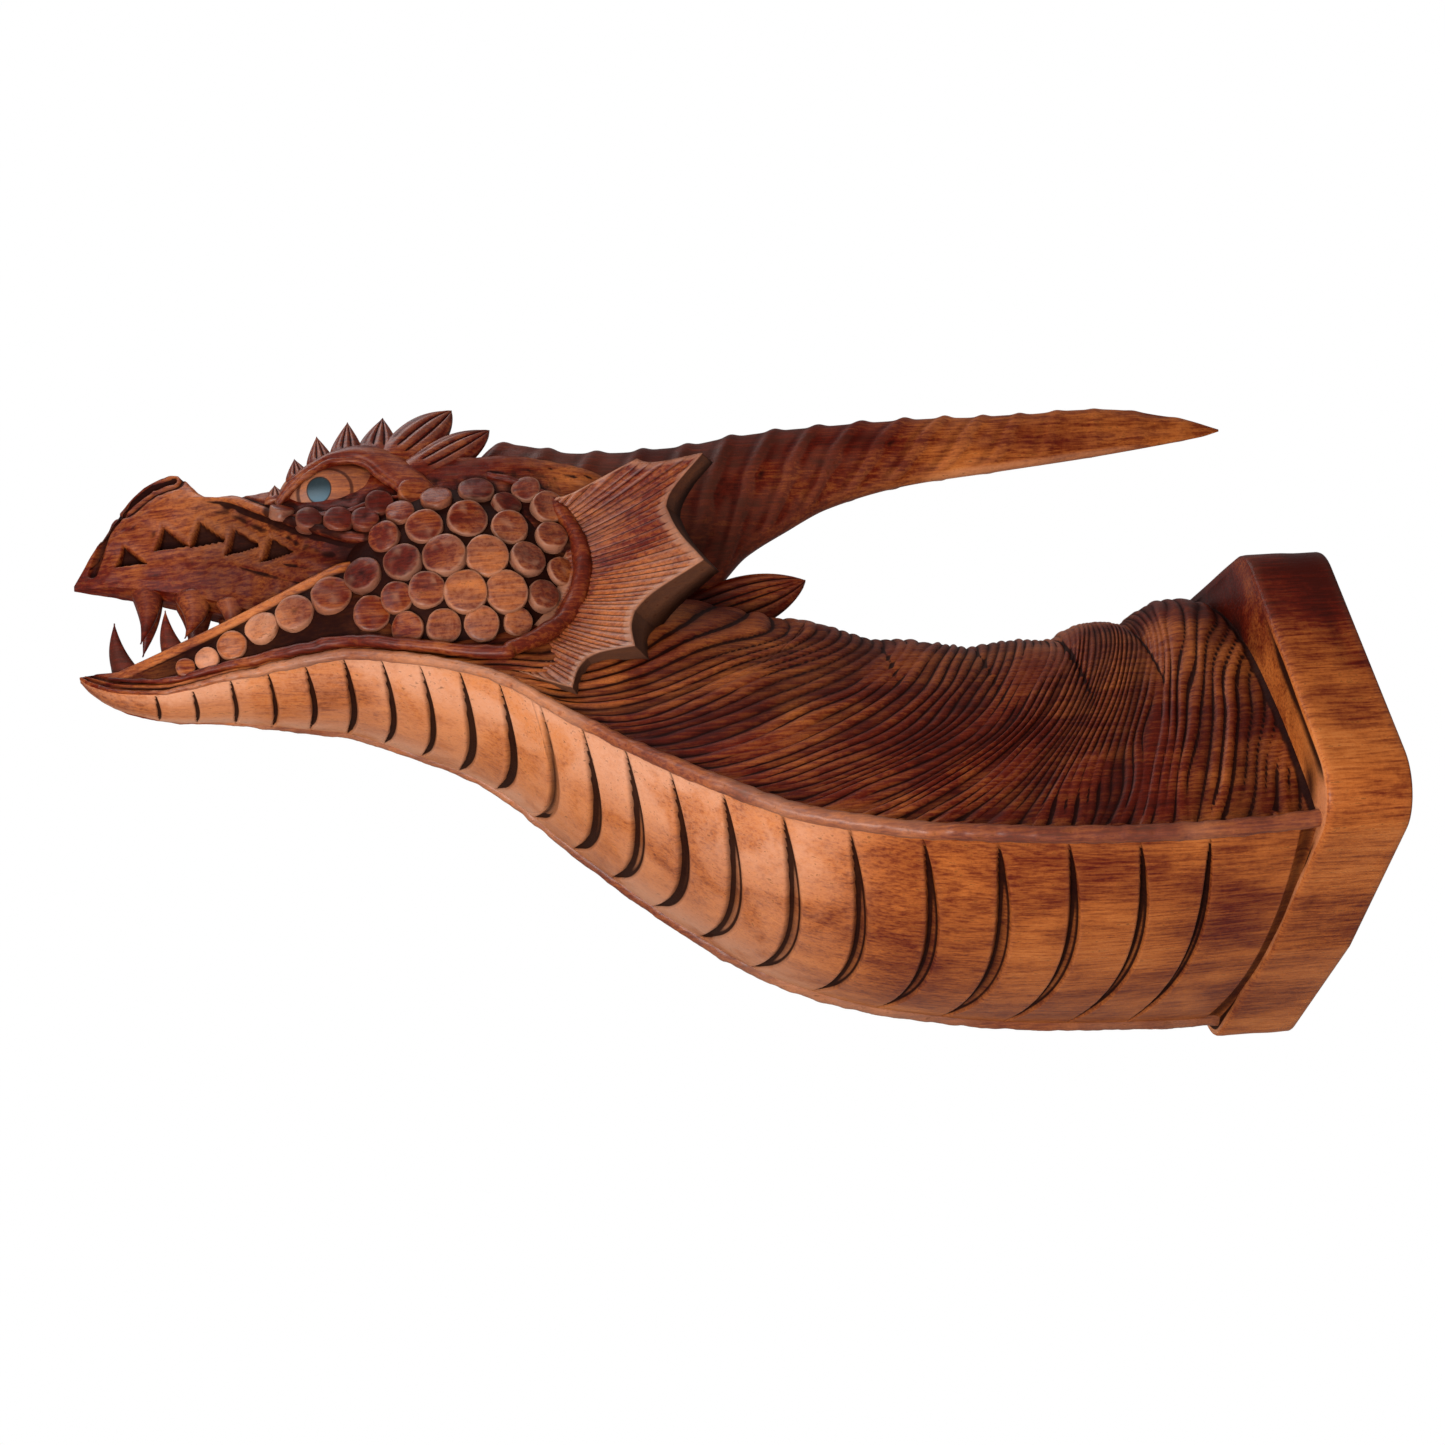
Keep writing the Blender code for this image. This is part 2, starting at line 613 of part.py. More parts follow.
def join_forms(base, tools):
    """Union every form in the collection into the base in one step, kept as a plain mesh."""
    modifier = base.modifiers.new("joined", "BOOLEAN")
    modifier.operation = "UNION"
    modifier.solver = "EXACT"
    modifier.operand_type = "COLLECTION"
    modifier.collection = tools
    bpy.context.view_layer.update()
    evaluated = base.evaluated_get(bpy.context.evaluated_depsgraph_get())
    mesh = bpy.data.meshes.new_from_object(evaluated)
    base.modifiers.clear()
    base.data = mesh
    for tool in tools.objects:
        tool.hide_render = True
        tool.display_type = "WIRE"


def wood():
    material = bpy.data.materials.new("oiled_hardwood")
    material.use_nodes = True
    shader = material.node_tree.nodes["Principled BSDF"]
    shader.inputs["Base Color"].default_value = WOOD_COLOUR
    shader.inputs["Roughness"].default_value = 0.42
    shader.inputs["Metallic"].default_value = 0.0
    return material


def main():
    for obj in list(bpy.data.objects):
        bpy.data.objects.remove(obj)
    scene = bpy.context.scene.collection
    model = bpy.data.collections.new("dragon_head_wall_carving")
    tools = bpy.data.collections.new("carving_tools")
    scene.children.link(model)
    scene.children.link(tools)

    carving = make_body(model)
    make_plaque(tools)
    make_skull(tools)
    make_horn(tools)
    make_fin(tools)
    side = [make_ball("cheek", CHEEK_CENTRE, CHEEK_RADII, tools)]
    side.append(make_frill(tools))
    side.append(make_cheek_rim(tools))
    side.append(make_ball("eyeball", EYE_CENTRE, EYE_RADII, tools, 12, 8))
    side.append(make_brow(tools))
    side += make_spikes(tools)
    side += make_teeth(tools)
    side += make_scales(tools)
    other_side(side, tools)
    join_forms(carving, tools)
    carving.name = "dragon_head"
    carving.data.materials.clear()
    carving.data.materials.append(wood())
    carving.data.shade_smooth()
    carving.data.set_sharp_from_angle(angle=math.radians(35))


main()
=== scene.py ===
import math

import bmesh
import bpy
import numpy as np
from bpy.props import FloatProperty, FloatVectorProperty, IntProperty, PointerProperty
from mathutils import Matrix, Vector
from mathutils.bvhtree import BVHTree


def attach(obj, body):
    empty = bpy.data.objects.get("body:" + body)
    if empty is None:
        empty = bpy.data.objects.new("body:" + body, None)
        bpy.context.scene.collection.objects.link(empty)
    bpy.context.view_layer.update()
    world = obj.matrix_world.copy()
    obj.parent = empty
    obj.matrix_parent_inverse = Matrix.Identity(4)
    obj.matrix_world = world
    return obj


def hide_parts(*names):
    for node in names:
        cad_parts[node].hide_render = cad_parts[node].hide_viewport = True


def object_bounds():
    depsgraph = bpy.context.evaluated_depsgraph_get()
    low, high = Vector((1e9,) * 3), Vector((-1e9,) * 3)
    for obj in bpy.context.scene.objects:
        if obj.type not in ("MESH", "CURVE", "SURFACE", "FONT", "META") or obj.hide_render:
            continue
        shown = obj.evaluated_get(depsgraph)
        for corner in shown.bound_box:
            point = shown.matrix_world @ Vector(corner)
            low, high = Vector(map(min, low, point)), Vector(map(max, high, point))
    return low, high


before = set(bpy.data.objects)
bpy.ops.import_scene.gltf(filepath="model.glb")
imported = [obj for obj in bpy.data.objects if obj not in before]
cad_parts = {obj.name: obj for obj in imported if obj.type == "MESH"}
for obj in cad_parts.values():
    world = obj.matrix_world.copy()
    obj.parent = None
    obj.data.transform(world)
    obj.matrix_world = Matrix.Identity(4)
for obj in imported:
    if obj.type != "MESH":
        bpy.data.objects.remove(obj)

bl_info = {
    "name": "Dragon head wall carving",
    "version": (1, 0, 0),
    "blender": (4, 5, 0),
    "location": "3D View > Sidebar > Carving",
    "description": "Carved surfaces, wood finish, light and camera of a dragon head wall carving",
    "category": "Object",
}

# A point of the carving is (across, reach, height) in millimetres. Reach is the distance out from
# the wall, so the point lies at X = across, Y = -reach, Z = height.
MM = 0.001
FLIP = (-1, 1, 1)
CAD_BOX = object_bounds()
NODE = "dragon_head"

# Distance in millimetres at which points of ring skins and of bands weld
RING_WELD = 0.02
BAND_WELD = 0.01
# A point this many millimetres out of its surroundings counts as fully raised: raised points get the tone
# of wear and painted sheen, sunk ones painted shade. Fine pieces take fewer passes.
WEAR_AND_LIGHT_HEIGHT = 0.35
WEAR_AND_LIGHT_PASSES = 10
FEW_PASSES = 4

# Wood of each piece: shift of its tone, how much wear and painted sheen its high spots get, and its gloss
WOODS = {
    "mane_wood": (0.08, 0.12, 0.1),
    "plaque_wood": (0.1, 0.08, 0.1),
    "skull_wood": (-0.05, 0.25, 0.12),
    "scale_wood": (-0.14, 0.9, 0.2),
    "frill_wood": (-0.14, 0.95, 0.2),
    "rim_wood": (-0.24, 0.05, 0.15),
    "lip_wood": (0.03, 0.9, 0.25),
    "brow_wood": (-0.1, 0.5, 0.25),
    "eye_wood": (0.04, 1.5, 0.25),
    "horn_wood": (-0.03, 0.15, 0.05),
    "tooth_wood": (-0.04, 0.3, 0.25),
}
# Scale of the grain along the reach against the scale across it
FIBRE_STRETCH = 0.07
BAND_STRETCH = 0.1

# Neck, throat and lower jaw
REACH = 500.0
NECK_SEAT = 12.0
NECK_ROWS = (530, 300)
BELLY_COLUMNS = 33
SIDE_COLUMNS = 60
EDGE_HEIGHT = (
    (10, -63), (65, -64), (123, -61), (176, -53), (202, -46), (229, -35), (268, -9), (305, 21),
    (333, 46), (365, 61), (397, 70), (440, 70), (463, 68.5), (473, 70), (486, 73.5), (496, 79.5), (500, 84),
)
EDGE_SPREAD = (
    (10, 91), (40, 87), (100, 83), (150, 80), (200, 74), (250, 64.5), (290, 54.5), (330, 45),
    (365, 37.5), (400, 29), (440, 17), (470, 10), (490, 5.5), (500, 1.5),
)
NAPE_LINE = ((10, 84), (50, 80), (90, 71), (140, 70), (181, 79), (215, 92), (260, 106), (330, 112))
BELLY_BULGE = (0.11, 0.22)
BELLY_BULGE_GROWTH = (20, 220)
MANE_TAPER = 0.38
MANE_ROUND = 3.2
MANE_LEAN = 120.0
MANE_LEAN_GROWTH = (12, 250)
MANE_LEAN_FADE = (330, 400)
LEAN_POWER = 1.6
STRAND_SLANT = 42
JAW_BLEND = (350, 396)
JAW_CORNER = (388, 116)
JAW_RIM_END = (484, 83)
JAW_TIP_HEIGHT = 84.0
JAW_THINNEST = 0.8
JAW_SCOOP = 9.0
JAW_RIM_CLIMB = 0.75
GOUGE_WIDEST = 8.5
GOUGE_WIDTHS = ((50, 5.5), (180, GOUGE_WIDEST), (300, 6), (400, 4), (470, 2.5))
GOUGE_BOW = 0.17
GOUGE_BOW_GROWTH = (12, 110)
SCUTE_START = 470.0
SCUTE_LAST = 50.0
SCUTE_PITCH = (15, 27)
SCUTE_GROWTH = (200, 310)
THROAT_SEAM = 322.0
TUFT_CREASES = (33, 71, 101, 137, 176, 214)
TUFT_HEIGHTS = (7.0, 6.0, 2.6, 2.2, 1.6)

# Skull and upper jaw
SKULL_START = 252.0
SKULL_FRONT = 380
SKULL_ROWS = (110, 280)
SKULL_MIDDLE = 130
BEAK_REACH = 502.0
TOP_LINE = (
    (250, 150), (300, 168), (350, 172), (390, 166), (425, 160), (446, 162), (458, 178), (470, 176),
    (484, 162), (502, 130),
)
LIP_LINE = (
    (250, 112), (340, 116), (388, 124), (411, 136), (425, 147), (440, 158), (463, 161), (484, 148),
    (502, 129.5),
)
LIP_SPREAD = ((250, 28), (320, 38), (388, 34), (411, 29), (440, 19), (463, 13), (484, 7.5), (502, 0.8))
KEEL_LINE = (
    (250, 70), (320, 70), (388, 92), (430, 107), (447, 114.5), (466, 121), (485, 125.5), (502, 128),
)
KEEL_SPREAD = ((250, 20), (340, 28), (388, 24), (430, 13), (466, 8), (485, 5.5), (502, 0.6))
CROWN_SHARE = 0.84
# Each pocket between the side teeth: middle reach, foot height, half width, rise
POCKETS = (
    (461, 139.5, 7.2, 9.5), (446, 138.8, 7.6, 10.5), (432, 132.3, 7.4, 8.3), (418, 125, 6.6, 9),
    (478, 134.5, 6.4, 5.5),
)
POCKET_DEPTH = 6.0
FLUTE_PITCH = 5.5
FLUTE_DEPTH = 0.35
NOSTRIL_PATH = ((494, 134), (488, 152.5), (479.5, 163.5), (469, 171.5), (460, 173))

# Cheek dome and its round scales, each scale as (reach, height, radius)
CHEEK_CENTRE = (20, 345, 107)
CHEEK_RADII = (25, 49, 47)
SCALES = (
    (415, 143, 4.3), (404, 136.6, 4.8), (392.1, 133.6, 5.3), (381.1, 132.5, 5), (375, 140.5, 5),
    (366.5, 131.5, 5.2), (361, 145, 5.2), (351.5, 137.4, 5.6), (334.9, 142, 6.4), (323.3, 134, 5.2),
    (314, 142.5, 5.2), (306, 133, 6.2), (340, 123.5, 7.2), (323.1, 119.6, 6.6), (306, 117, 5.8),
    (357.5, 121, 6.6), (373.5, 119.6, 5.8), (367, 105, 6.8), (350.3, 105.6, 7.8), (333.4, 104.4, 7.6),
    (317, 104.6, 6.6), (303.6, 102.3, 5.4), (383, 104, 6.8), (370.5, 90, 5.6), (358.4, 91, 6.4),
    (343.2, 88.7, 7.6), (326.6, 88.7, 7.4), (311.8, 89.4, 5.8), (396.5, 97.5, 7.2), (411.5, 92.8, 6.8),
    (425, 89.8, 6), (437.3, 84.5, 5.2), (447.5, 80.6, 4.2), (456.5, 78.4, 3.4), (381, 86, 6.4),
    (366.8, 77.6, 5.6), (352.8, 76, 6), (337.4, 76.2, 6.2), (323, 77.5, 5),
)
SCALE_SIZE = 1.24
SCALE_TILT = 0.26
SCALE_OUTWARD = 0.4
# Bead round the cheek and on along the jaw: its angles, half width and half height, the reaches of
# its fold along the jaw, its number of points, and its radius by share of its length
RIM_ANGLES = (72, -78)
RIM_RADII = (51, 48)
FOLD_REACHES = (376, 488)
RIM_POINTS = 220
RIM_SWELL = ((0, 1.4), (0.2, 3.6), (0.45, 4.2), (0.62, 2.6), (0.8, 2.2), (1, 0.5))

# Eye, lids and brow on the near side, as (across, reach, height)
EYE_CENTRE = (20, 391, 155)
EYE_RADII = (11.8, 25, 16.5)
PUPIL = (399.1, 151.6)
PUPIL_RADII = (5.2, 6.2)
IRIS = (396.7, 150.9)
IRIS_RADII = (11.2, 11.0)
# The eye is dark above these heights and nearer the wall than this reach, in metres
EYE_DARK_HEIGHT = (0.160, 0.163)
EYE_DARK_REACH = 0.380
UPPER_LID = (
    (26, 416.3, 147.3), (29, 410.5, 153.4), (31, 404.9, 157.7), (32, 394.1, 164.1), (32, 384.8, 164.5),
    (32.5, 378.1, 160.6), (33, 372.6, 153.7), (34, 367.2, 147.7), (34.5, 365.6, 145.2),
)
LOWER_LID = ((25, 418, 143), (30, 405, 139.5), (32.5, 390, 138.6), (34, 376, 142), (34, 361, 145))
BROW_RIM = (
    (24, 416.5, 150), (25.5, 409.1, 159.2), (26.5, 401.2, 165.1), (27, 391.1, 170), (27.5, 382.2, 173.1),
    (28, 374, 172.2), (29, 366.1, 167.7), (31, 359.5, 160.1), (33, 354.2, 151.9), (34, 351.1, 146.7),
)
BROW_INNER = (*UPPER_LID, (35, 361.2, 142.4))
BROW_RINGS = 90
# Spikes on the brow: base, tip, width and thickness
SPIKES = (
    ((23, 417.0, 152.7), (22, 417.3, 160.3), 9.5, 6),
    ((24, 407.1, 162.1), (22.5, 408.6, 172.8), 11, 6.5),
    ((25, 397.6, 168.5), (22.5, 398.8, 183.8), 12, 7),
    ((25.5, 386.6, 172.6), (22.5, 385.5, 190.4), 14, 7.5),
    ((26.5, 373.4, 172.7), (23, 370.6, 191.3), 17, 8.5),
    ((27, 364.1, 170.2), (23.5, 341.4, 193.0), 19, 10),
    ((29, 354.7, 161.0), (26.5, 326.4, 179.6), 17, 10),
)
# A spike shorter than the first of these lengths is a plain point, from the second on a full leaf
LEAF_FULL_LENGTH = (17, 26)
# Teeth: base, tip, base radius and backward bend
TEETH = (
    ((1.6, 472.5, 126), (5.0, 475, 97), 7.4, 2.0),
    ((4.2, 453.5, 119), (7.5, 457, 97), 8.2, 2.5),
    ((7.2, 438, 113), (9.5, 440, 98), 6.4, 1.5),
    ((2.4, 479.5, 82), (4.5, 485.5, 108), 6.8, -2.0),
    ((6.5, 460, 88), (9.0, 464.5, 110), 6.4, -1.5),
)

# Frill, its edge as (angle in degrees, distance) about the cheek's centre
FRILL_EDGE = (
    (34, 52), (25, 84), (16, 106), (7, 86), (-12, 99), (-28, 77), (-40, 86), (-50, 73),
    (-61, 82), (-78, 54), (-98, 44),
)
FRILL_ROOT = 40.0
FRILL_ROOT_OUT = 33.0
FRILL_TIP_OUT = 62.0
FRILL_FULL_SPREAD = 100.0
FRILL_COLUMNS = 900
FRILL_RINGS = 30
# Rings of the frill's edge and back: share of the way to the edge, distance inward and behind
FRILL_BACK = ((1.0, 1.0, 0.5), (1.0, 7.0, 5.0), (1.0, 14.0, 10.5), (0.5, 14.0, 7.0), (0.0, 14.0, 4.0))

# Horn, and the fin below its root as base, tip, width, thickness and number of grooves
FIN = ((0, 243, 98), (0, 197, 113), 26, 9, 5)
HORN_RING_LEAN = 16
HORN_END = (2, 334)
HORN_TOP = (
    (2, 181.5), (18, 188), (53, 194.5), (99, 194), (163, 193.5), (218, 189), (250, 184), (290, 183),
    (322, 190), (334, 178),
)
HORN_UNDER = (
    (2, 180.5), (11, 178), (58, 171), (104, 165.5), (149, 160), (182, 150.5), (201, 140), (220, 128),
    (240, 110), (300, 120), (334, 165),
)
HORN_SPREAD = ((2, 0.6), (18, 3.5), (58, 7.5), (104, 9), (163, 11.5), (220, 15), (290, 21), (334, 12))

# Plaque: corners of its right half as (across, height) and the radii of its two round corners
PLAQUE_CORNERS = ((0, 94), (79, 66), (112, -69), (0, -76))
PLAQUE_ROUNDS = (24, 20)
PLAQUE_THICK = 33.0
PLAQUE_RADIUS = 90
PLAQUE_COLUMNS = 360

# Stage, in metres. The camera's rows of axes are right, up and back.
FLOOR_HALF = 6.0
FLOOR_LEVEL = -0.66
LAMPS = (
    ("key_lamp", (0.55, -0.6, -0.62), 0.5, 1.0),
    ("side_lamp", (1.1, -0.9, 0.2), 0.6, 0.5),
    ("top_lamp", (0.2, -0.6, 1.1), 0.6, 0.4),
)
PHOTO_PIXELS = 1445.0
FOCUS_PIXELS = 3000.0
SENSOR = 36.0
CAMERA_PLACE = (1.0565, -0.3974, -0.5741)
CAMERA_AXES = (
    (0.07894, 0.99007, -0.11628),
    (0.51202, 0.05981, 0.85689),
    (0.85534, -0.12718, -0.50222),
)


def ease(low, high, value):
    """0 at low, 1 at high and smooth in between. Low may also be the greater of the two."""
    share = np.clip((np.asarray(value, float) - low) / (high - low), 0.0, 1.0)
    return share * share * (3 - 2 * share)


def follow(line, at):
    """Values of a line of (place, value) pairs at any places, on a cubic that never overshoots."""
    xs, ys = np.array(line, float).T
    at = np.clip(np.asarray(at, float), xs[0], xs[-1])
    k = np.clip(np.searchsorted(xs, at, side="right") - 1, 0, len(xs) - 2)
    before = np.maximum(np.arange(len(xs)) - 1, 0)
    after = np.minimum(np.arange(len(xs)) + 1, len(xs) - 1)
    slopes = (ys[after] - ys[before]) / (xs[after] - xs[before])
    span = xs[k + 1] - xs[k]
    rise = (ys[k + 1] - ys[k]) / span
    limit = 3 * np.abs(rise)
    first = np.clip(slopes[k], -limit, limit) * span
    last = np.clip(slopes[k + 1], -limit, limit) * span
    t = (at - xs[k]) / span
    start = (2 * t**3 - 3 * t**2 + 1) * ys[k] + (t**3 - 2 * t**2 + t) * first
    return start + (3 * t**2 - 2 * t**3) * ys[k + 1] + (t**3 - t**2) * last


def soft_noise(u, v, seed):
    """Smooth noise from -1 to 1 over two coordinates, one bump a unit."""
    table = np.random.default_rng(seed).uniform(-1, 1, (64, 64))
    u, v = np.broadcast_arrays(np.asarray(u, float), np.asarray(v, float))
    i, j = np.floor(u).astype(int), np.floor(v).astype(int)
    fu, fv = u - i, v - j
    fu, fv = fu * fu * (3 - 2 * fu), fv * fv * (3 - 2 * fv)
    corner = [[table[(i + a) % 64, (j + b) % 64] for b in (0, 1)] for a in (0, 1)]
    low = corner[0][0] * (1 - fu) + corner[1][0] * fu
    high = corner[0][1] * (1 - fu) + corner[1][1] * fu
    return low * (1 - fv) + high * fv


def jitter(index, seed):
    """One fixed random number from -1 to 1 for each whole index."""
    table = np.random.default_rng(seed).uniform(-1, 1, 512)
    return table[np.asarray(index).astype(int) % 512]


def surface_normals(grid):
    """Outward unit normals of a grid of rings that run round the reach."""
    along = np.gradient(grid, axis=0)
    around = np.roll(grid, -1, axis=1) - np.roll(grid, 1, axis=1)
    normal = np.cross(along, around)
    normal /= np.maximum(np.linalg.norm(normal, axis=2, keepdims=True), 1e-9)
    outward = grid - grid.mean(axis=1, keepdims=True)
    turn = np.sign(np.sum(outward * normal))
    return normal * (turn if turn else 1.0)


def grid_of(across, reach, height):
    """Grid of points from their coordinates, which may be single rows or columns."""
    return np.stack(np.broadcast_arrays(across, reach, height), axis=-1)


def mirrored(half, flip=1):
    """Rings of a whole form from those of one half, which run from middle plane to middle plane."""
    return np.concatenate([half, half[:, -2:0:-1] * flip], axis=1)


def full_turn(count):
    """Angles all the way round, as one row."""
    return np.linspace(0, 2 * np.pi, count + 1)[None, :-1]


def new_object(name, data):
    """Object of a mesh, lamp or camera, linked to the scene."""
    obj = bpy.data.objects.new(name, data)
    bpy.context.scene.collection.objects.link(obj)
    return obj


def mesh_object(name, points, edges=(), faces=()):
    mesh = bpy.data.meshes.new(name)
    mesh.from_pydata(points, edges, faces)
    return new_object(name, mesh)


def ring_mesh(name, grid, cut=None, tint=None):
    """Closed skin over the rings of a grid of (across, reach, height) points in millimetres."""
    middle = grid[[0, -1]].mean(axis=1, keepdims=True)
    inner = middle + 0.4 * (grid[[0, -1]] - middle)
    grid = np.concatenate([inner[:1], grid, inner[1:]])
    rows, count, _ = grid.shape
    index = np.arange(rows * count).reshape(rows, count)
    near, far = index[:-1], index[1:]
    quads = np.stack([near, np.roll(near, -1, 1), np.roll(far, -1, 1), far], axis=2).reshape(-1, 4)
    faces = quads.tolist() + [index[0].tolist(), index[-1][::-1].tolist()]
    obj = mesh_object(name, (grid.reshape(-1, 3) * (MM, -MM, MM)).tolist(), faces=faces)
    for kind, values in (("cut", cut), ("tint", tint)):
        if values is not None:
            mark(obj.data, kind, np.pad(np.clip(values, -1, 1), ((1, 1), (0, 0)), "edge").reshape(-1))
    weld(obj.data, RING_WELD)
    return obj


def weld(mesh, distance):
    """Weld points that lie together and point the faces outwards."""
    bm = bmesh.new()
    bm.from_mesh(mesh)
    bmesh.ops.remove_doubles(bm, verts=bm.verts, dist=distance * MM)
    bmesh.ops.recalc_face_normals(bm, faces=bm.faces)
    bm.to_mesh(mesh)
    bm.free()


def mark(mesh, name, values):
    """Store a number for each point: cut (painted shade in hollows), wear and painted light of high and low
    spots, or tint.
    """
    layer = mesh.attributes.get(name) or mesh.attributes.new(name, "FLOAT", "POINT")
    layer.data.foreach_set("value", np.asarray(values, np.float32))


def mark_wear_and_light(mesh, passes):
    """Store how far each point stands out of its smoothed surroundings, from -1 to 1."""
    count = len(mesh.vertices)
    points, normals = np.empty(count * 3), np.empty(count * 3)
    mesh.vertices.foreach_get("co", points)
    mesh.vertices.foreach_get("normal", normals)
    points, normals = points.reshape(-1, 3), normals.reshape(-1, 3)
    edges = np.empty(len(mesh.edges) * 2, int)
    mesh.edges.foreach_get("vertices", edges)
    a, b = edges.reshape(-1, 2).T
    share = 1 / np.maximum(np.bincount(a, minlength=count) + np.bincount(b, minlength=count), 1)
    smooth = points.copy()
    for _ in range(passes):
        for axis in range(3):
            line = smooth[:, axis]
            total = np.bincount(a, line[b], count) + np.bincount(b, line[a], count)
            smooth[:, axis] = 0.3 * line + 0.7 * total * share
    height = np.sum((points - smooth) * normals, axis=1) / (WEAR_AND_LIGHT_HEIGHT * MM)
    mark(mesh, "worn", np.clip(height, -1, 1))


def finish_piece(obj, material, passes=WEAR_AND_LIGHT_PASSES):
    """Give a finished carved piece its wood, its marks of wear, painted sheen and painted shade, and its
    place in the frame.
    """
    obj.data.materials.clear()
    obj.data.materials.append(material)
    for name in ("cut", "tint"):
        if name not in obj.data.attributes:
            mark(obj.data, name, np.zeros(len(obj.data.vertices)))
    mark_wear_and_light(obj.data, passes)
    obj.data.shade_smooth()
    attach(obj, "root")
    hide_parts(NODE)
    return obj


class Value:
    """A node's output that takes part in Python arithmetic by adding Math nodes."""

    def __init__(self, graph, socket):
        self.graph = graph
        self.socket = socket

    def math(self, operation, *others):
        values = dict(enumerate((self, *others)))
        return self.graph.add("ShaderNodeMath", {"operation": operation}, values)

    def __add__(self, other):
        return self.math("ADD", other)

    __radd__ = __add__

    def __sub__(self, other):
        return self.math("SUBTRACT", other)

    def __rsub__(self, other):
        return self.graph.add("ShaderNodeMath", {"operation": "SUBTRACT"}, {0: other, 1: self})

    def __mul__(self, other):
        return self.math("MULTIPLY", other)

    __rmul__ = __mul__

    def __truediv__(self, other):
        return self.math("DIVIDE", other)

    def __pow__(self, other):
        return self.math("POWER", other)

    def between(self, low, high):
        """0 below low, 1 above high and smooth in between."""
        settings = {"interpolation_type": "SMOOTHSTEP"}
        values = {"Value": self, "From Min": low, "From Max": high}
        return self.graph.add("ShaderNodeMapRange", settings, values)


class Graph:
    """Adds nodes to one node tree."""

    def __init__(self, tree):
        self.tree = tree

    def add(self, kind, settings=None, values=None, output=0):
        node = self.tree.nodes.new(kind)
        for name, setting in (settings or {}).items():
            if name == "stops":
                self.fill_ramp(node.color_ramp, setting)
            else:
                setattr(node, name, setting)
        for name, value in (values or {}).items():
            if isinstance(value, Value):
                self.tree.links.new(value.socket, node.inputs[name])
            else:
                node.inputs[name].default_value = value
        return Value(self, node.outputs[output] if len(node.outputs) else None)

    @staticmethod
    def fill_ramp(ramp, stops):
        while len(ramp.elements) < len(stops):
            ramp.elements.new(1.0)
        for element, (place, colour) in zip(ramp.elements, stops):
            element.position = place
            element.color = colour

    def mix(self, share, first, second):
        """Mix of two colours by a share. A Mix node's colours are its inputs 6 and 7 and output 2."""
        return self.add("ShaderNodeMix", {"data_type": "RGBA"}, {0: share, 6: first, 7: second}, 2)

    def noise(self, place, scale, detail, roughness=0.5, distortion=0.0):
        values = {"Vector": place, "Scale": scale, "Detail": detail}
        values.update({"Roughness": roughness, "Distortion": distortion})
        return self.add("ShaderNodeTexNoise", values=values)

    def split(self, place):
        """The three coordinates of a place."""
        x = self.add("ShaderNodeSeparateXYZ", values={0: place})
        return [Value(self, socket) for socket in x.socket.node.outputs]

    def stored(self, name, kind="FLOAT"):
        """A number or vector stored on the points, for Geometry Nodes."""
        return self.add("GeometryNodeInputNamedAttribute", {"data_type": kind}, {"Name": name})


def rgba(colour, shade=1.0):
    return (colour[0] * shade, colour[1] * shade, colour[2] * shade, 1.0)


